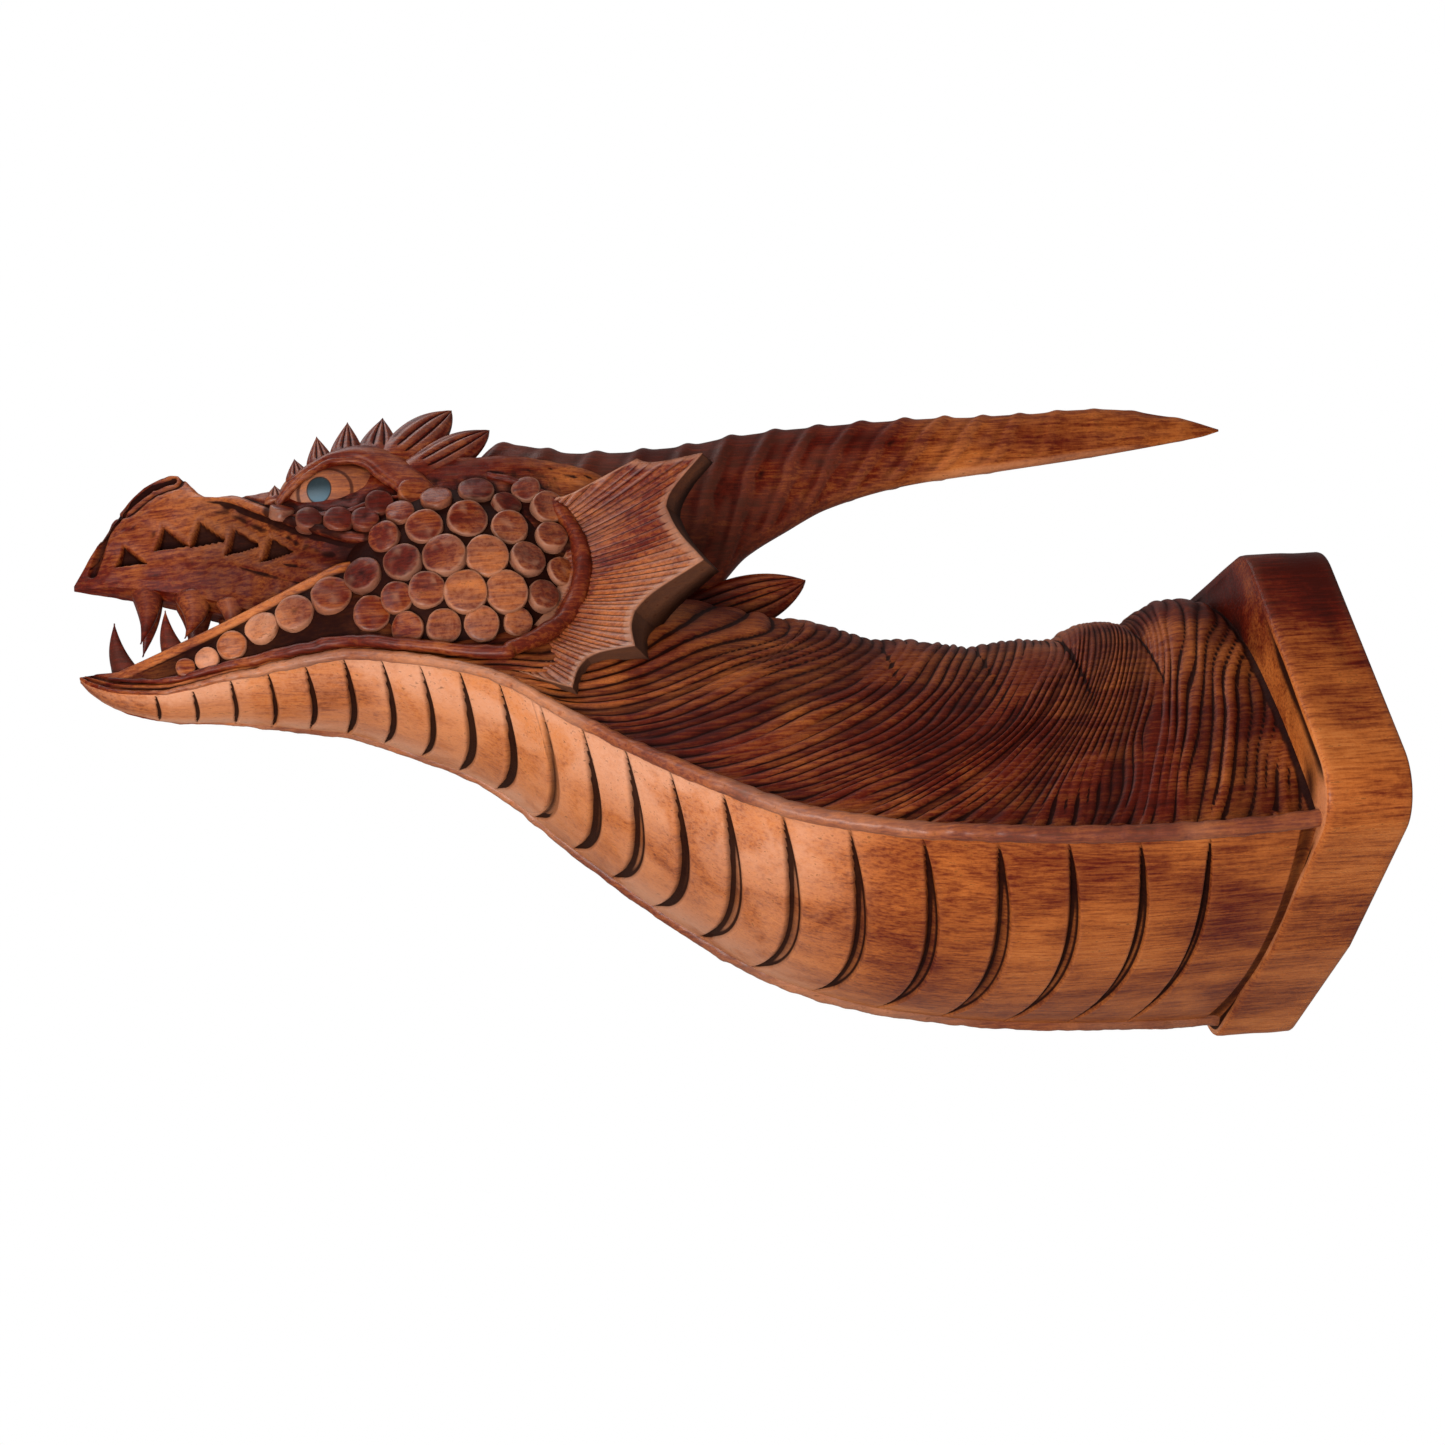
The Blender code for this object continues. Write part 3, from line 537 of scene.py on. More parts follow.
def carved_wood(name, sizes):
    """Oiled hardwood: grain along the reach, painted shade in cuts and sunk spots, wear with painted sheen
    on high spots and in large patches, and pale patches with painted sheen.
    """
    shade, wear_and_sheen_share, gloss = WOODS[name]
    material = bpy.data.materials.new(name)
    material.use_nodes = True
    material.node_tree.nodes.clear()
    g = Graph(material.node_tree)
    place = g.add("ShaderNodeTexCoord", output="Object")
    fibre_place, band_place = [
        g.add("ShaderNodeMapping", values={"Vector": place, "Scale": (1.0, stretch, 1.0)})
        for stretch in (FIBRE_STRETCH, BAND_STRETCH)
    ]
    fibre = g.noise(fibre_place, 820.0, 5.0, 0.68)
    band = g.noise(band_place, 110.0, 5.0, distortion=0.5)
    patch = g.noise(place, 11.0, 3.0)
    blotch = g.noise(place, 26.0, 5.0, distortion=0.7)
    fleck = g.noise(place, 480.0, 4.0, 0.7)
    cut, worn, tint = [
        g.add("ShaderNodeAttribute", {"attribute_name": kind}, output="Fac")
        for kind in ("cut", "worn", "tint")
    ]

    grain = (fibre - 0.5) * 1.25 + (band - 0.5) * 0.5 + (fleck - 0.5) * 0.4
    tone = grain + (patch - 0.5) * 0.9 + (blotch - 0.5) * 0.7 + tint + (0.5 + shade)
    deep, light = sizes.deep_wood, sizes.light_wood
    middle = [0.36 * a + 0.64 * b for a, b in zip(light, deep)]
    pale = [1.35 * light[0], 1.6 * light[1], 2.0 * light[2], 1.0]
    stops = [(0.1, rgba(deep, 0.45)), (0.34, rgba(deep)), (0.55, rgba(middle))]
    stops += [(0.78, rgba(light)), (1.0, pale)]
    colour = g.add("ShaderNodeValToRGB", {"stops": stops}, {"Fac": tone})
    # Wear with painted sheen: high spots and large patches turn grey-pink.
    wear_and_sheen = worn.between(0.05, 0.8) * (0.25 + patch.between(0.4, 0.62) * 0.75)
    broad_wear_and_sheen = patch.between(0.53, 0.68) * (fleck.between(0.35, 0.6) * 0.6 + 0.4) * 0.45
    wear_and_sheen = wear_and_sheen.math("MAXIMUM", broad_wear_and_sheen)
    colour = g.mix(wear_and_sheen * (sizes.wear_and_sheen_strength * wear_and_sheen_share), colour, rgba(sizes.wear_and_sheen_wood))
    # Pale wood with painted sheen where the tint is high, most on the belly.
    specks = fleck.between(0.3, 0.7) * 0.3 + blotch.between(0.4, 0.56) * 0.55 + 0.15
    pale_and_sheen = tint.between(0.14, 0.34) * specks
    colour = g.mix(pale_and_sheen * 0.9, colour, rgba(sizes.wear_and_sheen_wood, 1.6))
    # Painted shade: cuts and sunk spots turn near-black, and lose gloss.
    sunk = cut.math("MAXIMUM", (worn * -1.0).between(0.03, 0.6))
    colour = g.mix(sunk * 0.96, colour, rgba(deep, 0.08))
    pore = (fleck * 0.4 + fibre * 0.6).between(0.55, 0.64) * 0.62
    colour = g.mix(pore, colour, rgba(deep, 0.3))

    roughness = 0.36 + fibre * 0.14 + sunk * 0.3 - patch.between(0.45, 0.7) * 0.08
    height = fibre * 0.5 + band * 0.25 + fleck * 0.35
    bump = g.add("ShaderNodeBump", values={"Strength": 0.5, "Distance": 0.0008, "Height": height})
    coat = (1.0 - sunk) * (tint.between(-0.16, 0.1) * 0.7 + 0.3) * gloss
    values = {"Base Color": colour, "Roughness": roughness, "Normal": bump, "Specular IOR Level": 0.05}
    values.update({"Coat Weight": coat, "Coat Roughness": 0.28})
    shader = g.add("ShaderNodeBsdfPrincipled", values=values)
    g.add("ShaderNodeOutputMaterial", values={"Surface": shader})
    return material


def edge_height(reach):
    return follow(EDGE_HEIGHT, reach)


def edge_spread(reach):
    return follow(EDGE_SPREAD, reach)


def jaw_rim_height(reach):
    slope = (JAW_RIM_END[1] - JAW_CORNER[1]) / (JAW_RIM_END[0] - JAW_CORNER[0])
    straight = JAW_CORNER[1] + slope * (np.minimum(reach, JAW_RIM_END[0]) - JAW_CORNER[0])
    tip = JAW_TIP_HEIGHT + JAW_THINNEST - JAW_RIM_END[1]
    return straight + tip * ease(JAW_RIM_END[0], REACH, reach) * (reach > JAW_RIM_END[0])


def side_surface(row, climb):
    """Side of the neck and jaw, from the lower edge (climb 0) to the middle plane (climb 1)."""
    lean = MANE_LEAN * ease(*MANE_LEAN_GROWTH, row) * (1 - ease(*MANE_LEAN_FADE, row))
    reach = row - lean * (1 - (1 - climb) ** LEAN_POWER)
    half, base = edge_spread(reach), edge_height(reach)
    mane_x = half * (1 - MANE_TAPER * climb) * np.sqrt(np.maximum(1 - climb**MANE_ROUND, 0.0))
    mane_z = base + (follow(NAPE_LINE, reach) - base) * climb
    rim = np.maximum(jaw_rim_height(reach), base + JAW_THINNEST)
    side = np.minimum(climb / JAW_RIM_CLIMB, 1.0)
    over = np.maximum(climb - JAW_RIM_CLIMB, 0.0) / (1 - JAW_RIM_CLIMB)
    scoop = np.minimum(JAW_SCOOP, 0.4 * (rim - base))
    jaw_x = half * (1 + 0.12 * np.sin(np.pi * side)) * (1 - over)
    jaw_z = base + (rim - base) * side - scoop * np.sin(0.5 * np.pi * over)
    jaw = ease(*JAW_BLEND, reach)
    across = np.where(climb > 0.9999, 0.0, mane_x * (1 - jaw) + jaw_x * jaw)
    return grid_of(across, reach, mane_z * (1 - jaw) + jaw_z * jaw)


def belly_surface(row, share):
    """Belly from the middle plane (share 0) to the lower edge (share 1)."""
    bow = GOUGE_BOW * ease(*GOUGE_BOW_GROWTH, row)
    reach = row - bow * edge_spread(row) * (1 - share**2)
    half = edge_spread(reach)
    low, high = BELLY_BULGE
    drop = (low + (high - low) * ease(*BELLY_BULGE_GROWTH, reach)) * half * (1 - share**2)
    return grid_of(half * share, reach, edge_height(reach) - drop)


def scute_reaches():
    reaches, reach = [], SCUTE_START
    while reach > SCUTE_LAST:
        reaches.append(reach)
        growth = float(ease(*SCUTE_GROWTH, reach))
        reach -= SCUTE_PITCH[1] + (SCUTE_PITCH[0] - SCUTE_PITCH[1]) * growth
    return reaches


def groove(distance, half_width):
    """Depth from 0 to 1 of a rounded groove at a distance from its middle."""
    return np.clip(1 - (distance / half_width) ** 2, 0, 1) ** 0.7


def strand_relief(row, climb, sizes):
    """Height of the mane's hair strands, which double in number as they climb."""
    wander = soft_noise(row * 0.022 + 5, climb * 2.3, 3) + 0.35 * soft_noise(row * 0.07, climb * 5, 4)
    slant = STRAND_SLANT * (1 - (1 - climb) ** LEAN_POWER) * ease(150, 12, row)
    turn = (row + slant) / (2 * sizes.strand_pitch / MM) + 0.75 * wander
    wide = np.abs(np.sin(np.pi * turn)) ** 0.75
    fine = np.abs(np.sin(2 * np.pi * turn + 0.5 * wander)) ** 0.75
    share = ease(0.0, 0.22, climb)
    lifted = 0.72 + 0.38 * jitter(np.floor(2 * turn), 8) + 0.12 * soft_noise(turn * 2, climb * 14, 9)
    full = 0.4 + 0.6 * ease(-0.55, 0.1, soft_noise(row * 0.05, climb * 4, 15))
    depth = sizes.strand_depth / MM * full
    return depth * (wide * (1 - share) + fine * share) * lifted - depth


def tuft_relief(reach, climb):
    """Rounded hair tufts along the nape, parted by creases."""
    height = np.zeros(np.broadcast(reach, climb).shape)
    for low, high, tall in zip(TUFT_CREASES, TUFT_CREASES[1:], TUFT_HEIGHTS):
        share = np.clip((reach - low) / (high - low), 0, 1)
        height = height + tall * np.sin(np.pi * share) ** 0.6
    return height * ease(0.45, 0.9, climb)


def side_relief(row, climb, grid, sizes):
    """Carving on the side: strands and tufts on the mane, bands and a sunk field on the jaw."""
    reach, height = grid[..., 1], grid[..., 2]
    above = height - edge_height(reach)
    jaw = ease(*JAW_BLEND, reach)
    ragged = 2.6 * soft_noise(row / 2.4, 0, 14) - 2.2 * np.abs((row / 9.8) % 1 - 0.5)
    strands = strand_relief(row, climb, sizes) * ease(3.0, 4.4, above + ragged)
    strands = strands * (1 - ease(0.985, 1.0, climb))
    rim, below_rim = jaw_rim_height(reach), climb < JAW_RIM_CLIMB
    field = ease(5.0, 6.5, above) * ease(4.0, 5.2, rim - height) * below_rim
    deep = np.minimum(1.0, (rim - edge_height(reach)) / 25)
    line = groove(above - 2.6, 0.9) * 0.7 + groove(above - 5.2, 1.3) * 0.9
    banded = -1.3 * field * deep - line * below_rim
    relief = (strands + tuft_relief(reach, climb)) * (1 - jaw) + banded * jaw
    relief = relief - (1 - jaw) * groove(above - 3.4, 1.1) * 0.8
    relief = relief * ease(PLAQUE_THICK - 0.5, PLAQUE_THICK + 2, reach)
    # The cut mark is painted shade: in the gaps between the strands, the jaw's grooves and sunk field, and
    # the groove by the plaque.
    cut = np.clip(-strands / (sizes.strand_depth / MM) * 1.05, 0, 1) ** 1.5 * (1 - jaw)
    cut = cut + jaw * np.clip(line + field * deep, 0, 1)
    cut = cut + groove(reach - 33.6, 2.0)
    tint = -0.2 * ease(4, 9, above) + 0.14 * ease(300, 160, reach) * ease(0.5, 0.1, climb)
    return relief, cut, (1 - jaw) * tint + 0.16 * jaw * (rim - height < 5.0)


def belly_relief(row, share, sizes):
    """Crescent gouges that part the belly into scutes."""
    relief = np.zeros(np.broadcast(row, share).shape)
    cut = relief.copy()
    for k, reach in enumerate(scute_reaches()):
        width = float(follow(GOUGE_WIDTHS, reach))
        width *= sizes.gouge_width / MM / GOUGE_WIDEST * (1 + 0.15 * float(jitter(k, 21)))
        open_width = width * np.clip(1 - (np.abs(share) / 0.98) ** 2.4, 0.0, 1.0) ** 0.8
        across = (row - reach + 0.35 * width) / np.maximum(open_width, 0.3)
        inside = ease(0.0, 0.22, across) * ease(0.0, 0.3, 1 - across)
        depth = min(sizes.gouge_depth / MM, 0.1 * float(edge_spread(reach)) + 0.3)
        relief = relief - depth * inside * (0.4 + 0.6 * across) * np.minimum(1, open_width / (0.5 * width))
        # Painted shade inside each gouge, darkest where it is deepest.
        cut = np.maximum(cut, inside * (0.45 + 0.55 * ease(0.35, 0.75, across)))
    # The seat groove by the plaque also gets painted shade.
    seat = groove(row - (PLAQUE_THICK + 3), 3.5)
    return relief - 1.2 * seat, np.maximum(cut, 0.8 * seat)


def row_places(first, seam, last, before, after):
    """Reaches of rings that lie closer on one side of a seam, which is a ring of both sides."""
    return np.concatenate([np.linspace(first, seam, before)[:-1], np.linspace(seam, last, after)])


def neck_grid(rows, sizes):
    """Rings of the neck and jaw, with the carving pressed in along the normals."""
    row = rows[:, None]
    share = np.linspace(0, 1, BELLY_COLUMNS)[None, :-1]
    step = np.linspace(0, 1, SIDE_COLUMNS)[None, :]
    climb = 0.72 * np.sin(0.5 * np.pi * step) + 0.28 * step**1.6
    side = side_surface(row, climb)
    # The belly is tinted lighter, most along a pale band, which the wood shows as pale wood with painted
    # sheen.
    pale = ease(170, 250, row) * (0.5 + 0.5 * ease(0.2, 0.9, share))
    belly = (belly_surface(row, share), *belly_relief(row, share, sizes), 0.12 + 0.2 * pale)
    halves = zip(belly, (side, *side_relief(row, climb, side, sizes)))
    grid, *marks = [np.concatenate(half, axis=1) for half in halves]
    grid = mirrored(grid, FLIP)
    lift, cut, tint = [mirrored(values) for values in marks]
    return grid + surface_normals(grid) * lift[..., None], cut, tint


def skull_grid(rows):
    """Rings of the upper jaw and skull: keel, sharp lip and rounded crown."""
    lines = (TOP_LINE, LIP_LINE, LIP_SPREAD, KEEL_LINE, KEEL_SPREAD)
    top, lip, spread, keel, foot = [follow(line, rows) for line in lines]
    fall, rise = lip - keel, top - lip
    shoulder = 1 - 0.35 * (1 - CROWN_SHARE)
    low_x = (0 * keel, 0.8 * foot, foot, foot + 0.4 * (spread - foot), 0.97 * spread)
    low_z = (keel, keel + 0.01 * fall, keel + 0.12 * fall, keel + 0.5 * fall, lip - 0.04 * fall)
    high_x = (spread, spread * shoulder, CROWN_SHARE * spread, 0.45 * spread, 0 * spread)
    high_z = (lip, lip + 0.4 * rise, lip + 0.85 * rise, top - 0.02 * rise, top)
    half = []
    for xs, zs, steps in ((low_x, low_z, 80), (high_x, high_z, 40)):
        corners = np.stack([xs, zs], axis=-1)
        places = np.linspace(0, len(xs) - 1, steps + 1)
        low = np.minimum(places.astype(int), len(xs) - 2)
        part = (places - low)[:, None, None]
        part = 0.6 * part + 0.4 * part * part * (3 - 2 * part)
        half.append(corners[low] * (1 - part) + corners[low + 1] * part)
    across, height = np.concatenate(half).transpose(2, 1, 0)
    rows = rows[:, None]
    taper = 0.45 + 0.55 * np.sqrt(ease(SKULL_START - 4, SKULL_START + 40, rows))
    height = SKULL_MIDDLE + (height - SKULL_MIDDLE) * taper
    return mirrored(grid_of(across * taper, rows, height), FLIP)


def path_distance(reach, height, path):
    """Distance of each place in the side view from a path of (reach, height) corners."""
    best = np.full(reach.shape, 1e6)
    for (a0, b0), (a1, b1) in zip(path, path[1:]):
        length = (a1 - a0) ** 2 + (b1 - b0) ** 2
        t = np.clip(((reach - a0) * (a1 - a0) + (height - b0) * (b1 - b0)) / length, 0, 1)
        best = np.minimum(best, np.hypot(reach - a0 - t * (a1 - a0), height - b0 - t * (b1 - b0)))
    return best


def scale_bed(reach, height):
    """1 on the painted shade close about a round scale, 0 elsewhere, in the side view."""
    bed = np.zeros(reach.shape)
    for middle, level, radius in SCALES:
        away = np.hypot(reach - middle, height - level) - SCALE_SIZE * radius
        bed = np.maximum(bed, ease(3.0, 1.4, away))
    return bed


def skull_relief(grid):
    """Lip ridge, pockets between the side teeth, nostril groove, nose crease and flutes."""
    across, reach, height = np.abs(grid[..., 0]), grid[..., 1], grid[..., 2]
    lip, keel = follow(LIP_LINE, reach), follow(KEEL_LINE, reach)
    above = height - lip
    front = ease(250, 380, reach) * (1 - ease(425, 450, reach))
    relief = 1.7 * front * groove(above - 1.5, 2.8) - 0.8 * front * groove(above - 6.0, 1.6)
    # Painted shade in the groove above the lip ridge and, below, in the pockets between the teeth.
    cut = 0.5 * front * groove(above - 6.2, 1.6)
    below = ease(-0.3, -1.8, above)
    relief = relief - 2.2 * below * front * ease(-14, -6, above)
    for middle, foot, half, rise in POCKETS:
        up = height - foot
        inner = np.minimum(up, 0.85 * (1.1 * half - np.abs(reach - middle - 0.3 * up) - 0.68 * up))
        pocket = ease(0.0, 1.1, inner) * below
        relief = relief - POCKET_DEPTH * pocket * (0.5 + 0.5 * ease(1.2 * rise, 0.0, up))
        cut = np.maximum(cut, pocket)
    relief = relief + 0.8 * below * groove(height - 0.55 * keel - 0.45 * lip, 3.0) * front
    nostril = groove(path_distance(reach, height, NOSTRIL_PATH), 2.2)
    crease = groove(path_distance(reach, height, NOSTRIL_PATH[2:]) - 4.6, 1.2) * (across > 1)
    relief = relief - 2.0 * nostril - 0.8 * crease
    relief = relief + 0.35 * soft_noise(reach / 9, height / 7, 31)
    relief = relief + 0.2 * soft_noise(reach / 3, height / 4, 32)
    corner = below * ease(406, 390, reach)
    inside = below * ease(465, 440, reach)
    bed = scale_bed(reach, height) * ease(10, 14, across)
    flutes = ease(366, 352, reach) * ease(143, 147, height) * (1 - bed) * (across > 12)
    flutes = flutes * (1 - np.abs(np.sin(np.pi * (height + 0.12 * reach) / FLUTE_PITCH)) ** 0.6)
    # Painted shade in the nostril, the crease, the mouth's corner and inside, round the scales and in the
    # flutes.
    darks = ((0.9, nostril), (0.6, crease), (0.9, corner), (0.4, inside), (0.9, bed), (0.25, flutes))
    for share, dark in darks:
        cut = np.maximum(cut, share * dark)
    relief = relief - FLUTE_DEPTH * flutes
    side = ease(0.4, 2.5, across)
    return relief * side, cut * side, -0.1 * ease(460, 440, reach) * ease(0, 8, above)


def frill_grid(sizes):
    """Rayed collar behind the cheek: front from root to edge, then a thick rim and the back."""
    angles = np.linspace(FRILL_EDGE[0][0], FRILL_EDGE[-1][0], FRILL_COLUMNS)
    corners = np.array(FRILL_EDGE, float)[::-1]
    place = np.interp(angles, corners[:, 0], np.arange(len(corners)))
    edge = np.interp(angles, corners[:, 0], corners[:, 1])
    low = np.minimum(place.astype(int), len(corners) - 2)
    to_tip = np.abs(corners[low + 1, 1] - corners[low, 1])
    edge = edge - 0.24 * to_tip * np.sin(np.pi * (place - low))
    notch = 1 - np.clip((edge - 52) / 45, 0, 1)
    spread = (edge - FRILL_ROOT) / (FRILL_FULL_SPREAD - FRILL_ROOT)
    radians = np.radians(angles)
    turn = radians * 72 / (sizes.ray_pitch / MM) + 0.25 * soft_noise(angles / 5, 0, 41)
    ray = np.abs(np.sin(np.pi * turn)) ** 0.6 * (1 + 0.3 * jitter(np.floor(turn), 5))

    def ring_at(share):
        out = FRILL_ROOT_OUT + (FRILL_TIP_OUT - FRILL_ROOT_OUT) * spread * share**1.3
        return out, FRILL_ROOT + (edge - FRILL_ROOT) * share

    rings, cuts = [], []
    for k in range(FRILL_RINGS + 1):
        share = k / FRILL_RINGS
        out, r = ring_at(share)
        fade = ease(0.08, 0.22, share) * (1 - ease(0.93, 1.0, share))
        cup = 1.2 * np.sin(np.pi * share) * np.sin(np.pi * (place - low)) ** 2
        rings.append((out - (1 - ray) * (sizes.ray_depth / MM * fade) - cup, r, r))
        # Painted shade between the rays.
        cuts.append(np.clip((0.6 - ray) * 1.6, 0, 1) * fade)
    for share, inward, behind in FRILL_BACK:
        out, r = ring_at(share)
        thick = 0.5 + 0.5 * notch + 0.5 * ease(5, -35, angles)
        rings.append((out - inward * thick, r + behind * thick, r))
        # Painted shade on the frill's thick edge and back.
        cuts.append(np.full(len(angles), 0.88 if inward > 7 else 0.72))
    grid = []
    for out, along, up in rings:
        reach = CHEEK_CENTRE[1] - along * np.cos(radians)
        grid.append(grid_of(out, reach, CHEEK_CENTRE[2] + up * np.sin(radians)))
    return np.stack(grid, axis=1), np.stack(cuts, axis=1)


def horn_grid(sizes):
    """Horn with slanted raised rings and a flattened underside."""
    rows = np.linspace(HORN_END[0], HORN_END[1], 420)[:, None]
    turn = full_turn(56)
    top, under, spread = [follow(line, rows) for line in (HORN_TOP, HORN_UNDER, HORN_SPREAD)]
    middle, tall = 0.5 * (top + under), 0.5 * (top - under)
    up = np.cos(turn)
    flat = np.where(up < 0, np.sign(up) * np.abs(up) ** 0.75, up)
    wide = np.sin(turn) * (0.84 + 0.16 * up)
    fade = ease(30, 150, rows)
    leaning = rows + HORN_RING_LEAN * up * fade
    pitch = HORN_END[1] / sizes.horn_rings
    ring = np.abs(np.cos(np.pi * leaning / pitch)) ** 7
    swell = (ring * 1.3 - 0.5) * (0.3 + 0.7 * fade) * ease(2, 22, rows)
    swell = swell + 0.35 * soft_noise(rows / 14, turn * 2.5, 12) * ease(2, 30, rows)
    under_flat = ease(0.75, 0.95, -up)
    swell = swell * (1 - under_flat)
    # Painted shade in the grooves between the raised rings.
    cut = groove((leaning / pitch + 0.22) % 1 - 0.5, 0.12) * 0.35 * fade * (1 - under_flat)
    tint = 0.12 * ease(190, 110, rows) - 0.3 * ease(130, 200, rows) - 0.1 * ease(60, 15, rows)
    grid = grid_of(wide * (spread + swell), rows, middle + flat * (tall + swell))
    return grid, cut, tint + 0.1 * under_flat


def leaf_grid(base, tip, width, thickness, grooves=3):
    """Pointed leaf with long grooves on both faces, sunk a little below its base."""
    base, tip = np.array(base, float), np.array(tip, float)
    along = tip - base
    side = np.cross(along, (1.0, 0.0, 0.0))
    side /= np.linalg.norm(side)
    face = np.cross(side, along)
    face /= np.linalg.norm(face)
    share = np.linspace(-0.3, 1.0, 34)[:, None]
    turn = full_turn(48)
    full = float(ease(*LEAF_FULL_LENGTH, np.linalg.norm(along)))
    past = np.clip((share - 0.3 * full) / (1 - 0.3 * full), 0, 1)
    wide = (1 - past ** (1.3 + 0.9 * full)) ** (1 - 0.15 * full) + 0.02
    wide = wide * (1 - 0.18 * full * ease(0.3, -0.3, share))
    place = np.sin(turn)
    ridge = np.abs(np.cos(0.5 * np.pi * (grooves + 1) * place)) ** 0.5
    thin = np.cos(turn) * (1 - 0.4 * (1 - ridge) * ease(-0.1, 0.15, share))
    a = 0.5 * width * wide * place
    b = 0.5 * thickness * (0.3 + 0.7 * wide) * thin
    points = base + along * share[..., None] + side * a[..., None] + face * b[..., None]
    # The second value is painted shade in the long grooves.
    return points, np.clip((0.55 - ridge) * 1.8, 0, 1) * ease(0.0, 0.2, share) * (np.abs(place) < 0.95)


def tooth_grid(base, tip, radius, bend):
    """Curved tooth, flattened sideways, with a blunt point."""
    base, tip = np.array(base, float), np.array(tip, float)
    share = np.linspace(-0.06, 1.0, 26)[:, None]
    turn = full_turn(18)
    wide = radius * np.maximum(1 - np.maximum(share, 0) ** 1.15, 0.05)
    middle = base + (tip - base) * share[..., None]
    middle = middle - np.array((0.0, 1.0, 0.0)) * (bend * np.sin(np.pi * np.clip(share, 0, 1)))[..., None]
    ridge = 1 - 0.12 * np.abs(np.sin(1.5 * turn))
    return middle + grid_of(0.62 * wide * np.cos(turn) * ridge, wide * np.sin(turn) * ridge, 0.0)


def brow_grid():
    """Brow that fills the space between its rim and the upper lid, drawn as rings along it."""
    rim, inner = smooth_line(BROW_RIM, BROW_RINGS), smooth_line(BROW_INNER, BROW_RINGS)
    middle, half = 0.5 * (rim + inner), 0.5 * (rim - inner)
    outward = np.cross(half, np.gradient(middle, axis=0))
    outward *= np.sign(outward[:, :1]) / np.linalg.norm(outward, axis=1, keepdims=True)
    turn = full_turn(32)
    thick = 1.2 + 2.4 * np.sin(np.pi * np.linspace(0.02, 0.98, BROW_RINGS)) ** 0.5
    up = np.sign(np.sin(turn)) * np.abs(np.sin(turn)) ** 0.8
    front = outward[:, None] * (thick[:, None] * np.cos(turn))[..., None]
    return middle[:, None] + front + half[:, None] * up[..., None]


def both_sides(name, grids, cuts=None):
    """One object of several closed ring grids, each with its copy across the middle plane."""
    made = []
    for k, grid in enumerate(grids):
        cut = None if cuts is None else cuts[k]
        made.append(ring_mesh("%s_%d" % (name, k), grid, cut))
        made.append(ring_mesh("%s_%d_far" % (name, k), grid * FLIP, cut))
    return join_objects(name, made)


def join_objects(name, parts):
    with bpy.context.temp_override(active_object=parts[0], selected_editable_objects=parts):
        bpy.ops.object.join()
    parts[0].name = name
    parts[0].data.name = name
    return parts[0]


def plaque_half():
    """Half outline of the plaque as (across, height), from its apex to its bottom."""
    points = [PLAQUE_CORNERS[0]]
    for k, radius in enumerate(PLAQUE_ROUNDS):
        before, corner, after = [Vector(point) for point in PLAQUE_CORNERS[k : k + 3]]
        first, last = (before - corner).normalized(), (after - corner).normalized()
        half = 0.5 * first.angle(last)
        centre = corner + (first + last).normalized() * (radius / math.sin(half))
        start = corner + first * (radius / math.tan(half)) - centre
        turn = start.angle_signed(corner + last * (radius / math.tan(half)) - centre)
        points += [tuple(centre + Matrix.Rotation(-turn * n / 12, 2) @ start) for n in range(13)]
    return np.array([*points, PLAQUE_CORNERS[-1]], float)


def plaque_grid():
    """Rings of the plaque from its back to its front, and their tints."""
    half = plaque_half()
    outline = np.concatenate([half, half[-2:0:-1] * (-1, 1)])
    closed = np.vstack([outline, outline[:1]])
    length = np.concatenate([[0], np.cumsum(np.linalg.norm(np.diff(closed, axis=0), axis=1))])
    places = np.linspace(0, length[-1], PLAQUE_COLUMNS + 1)[:-1]
    line = np.stack([np.interp(places, length, closed[:, n]) for n in (0, 1)], axis=-1)
    tangent = np.roll(line, -1, 0) - np.roll(line, 1, 0)
    inward = np.stack([tangent[:, 1], -tangent[:, 0]], -1) / np.linalg.norm(tangent, axis=1, keepdims=True)
    inward *= np.sign(np.sum(inward * -line))
    steps = [(12.0, 0.0), (3.0, 0.0), (0.8, 0.0), (0.0, 0.8)]
    steps += [(0.0, reach) for reach in np.linspace(3, 30, 12)]
    steps += [(0.25, 31.8), (0.8, 32.6)]
    steps += [(inset, PLAQUE_THICK) for inset in (1.7, 4.0, 9.0, 16.0, 30.0)]
    rings, tints = [], []
    for inset, reach in steps:
        wave = 0.3 + 0.3 * soft_noise(places / 26, reach / 9, 17)
        moved = line * (1 - inset / PLAQUE_RADIUS) if inset > 4 else line + inward * inset
        across, height = (moved + inward * (wave * (0 < reach < PLAQUE_THICK))[:, None]).T
        front = reach >= PLAQUE_THICK
        dip = 0.35 * (front and inset > 2) * (1 + soft_noise(across / 21 + 9, height / 21 + 9, 18))
        rings.append(grid_of(across, reach - dip, height))
        # Darker towards the top; lighter at the bottom and on the front face as painted light.
        tint = -0.5 * ease(-25, 60, height) + 0.12 * ease(-10, -60, height)
        tints.append(tint + 0.1 * (front and inset > 1))
    return np.stack(rings), None, np.stack(tints)


def smooth_ball(centre, radii):
    """Ellipsoid about a centre, drawn as rings along the reach."""
    lean = np.linspace(0.02, np.pi - 0.02, 60)[:, None]
    turn = full_turn(72)
    across = centre[0] + radii[0] * np.sin(lean) * np.cos(turn)
    height = centre[2] + radii[2] * np.sin(lean) * np.sin(turn)
    return grid_of(across, centre[1] + radii[1] * np.cos(lean), height)


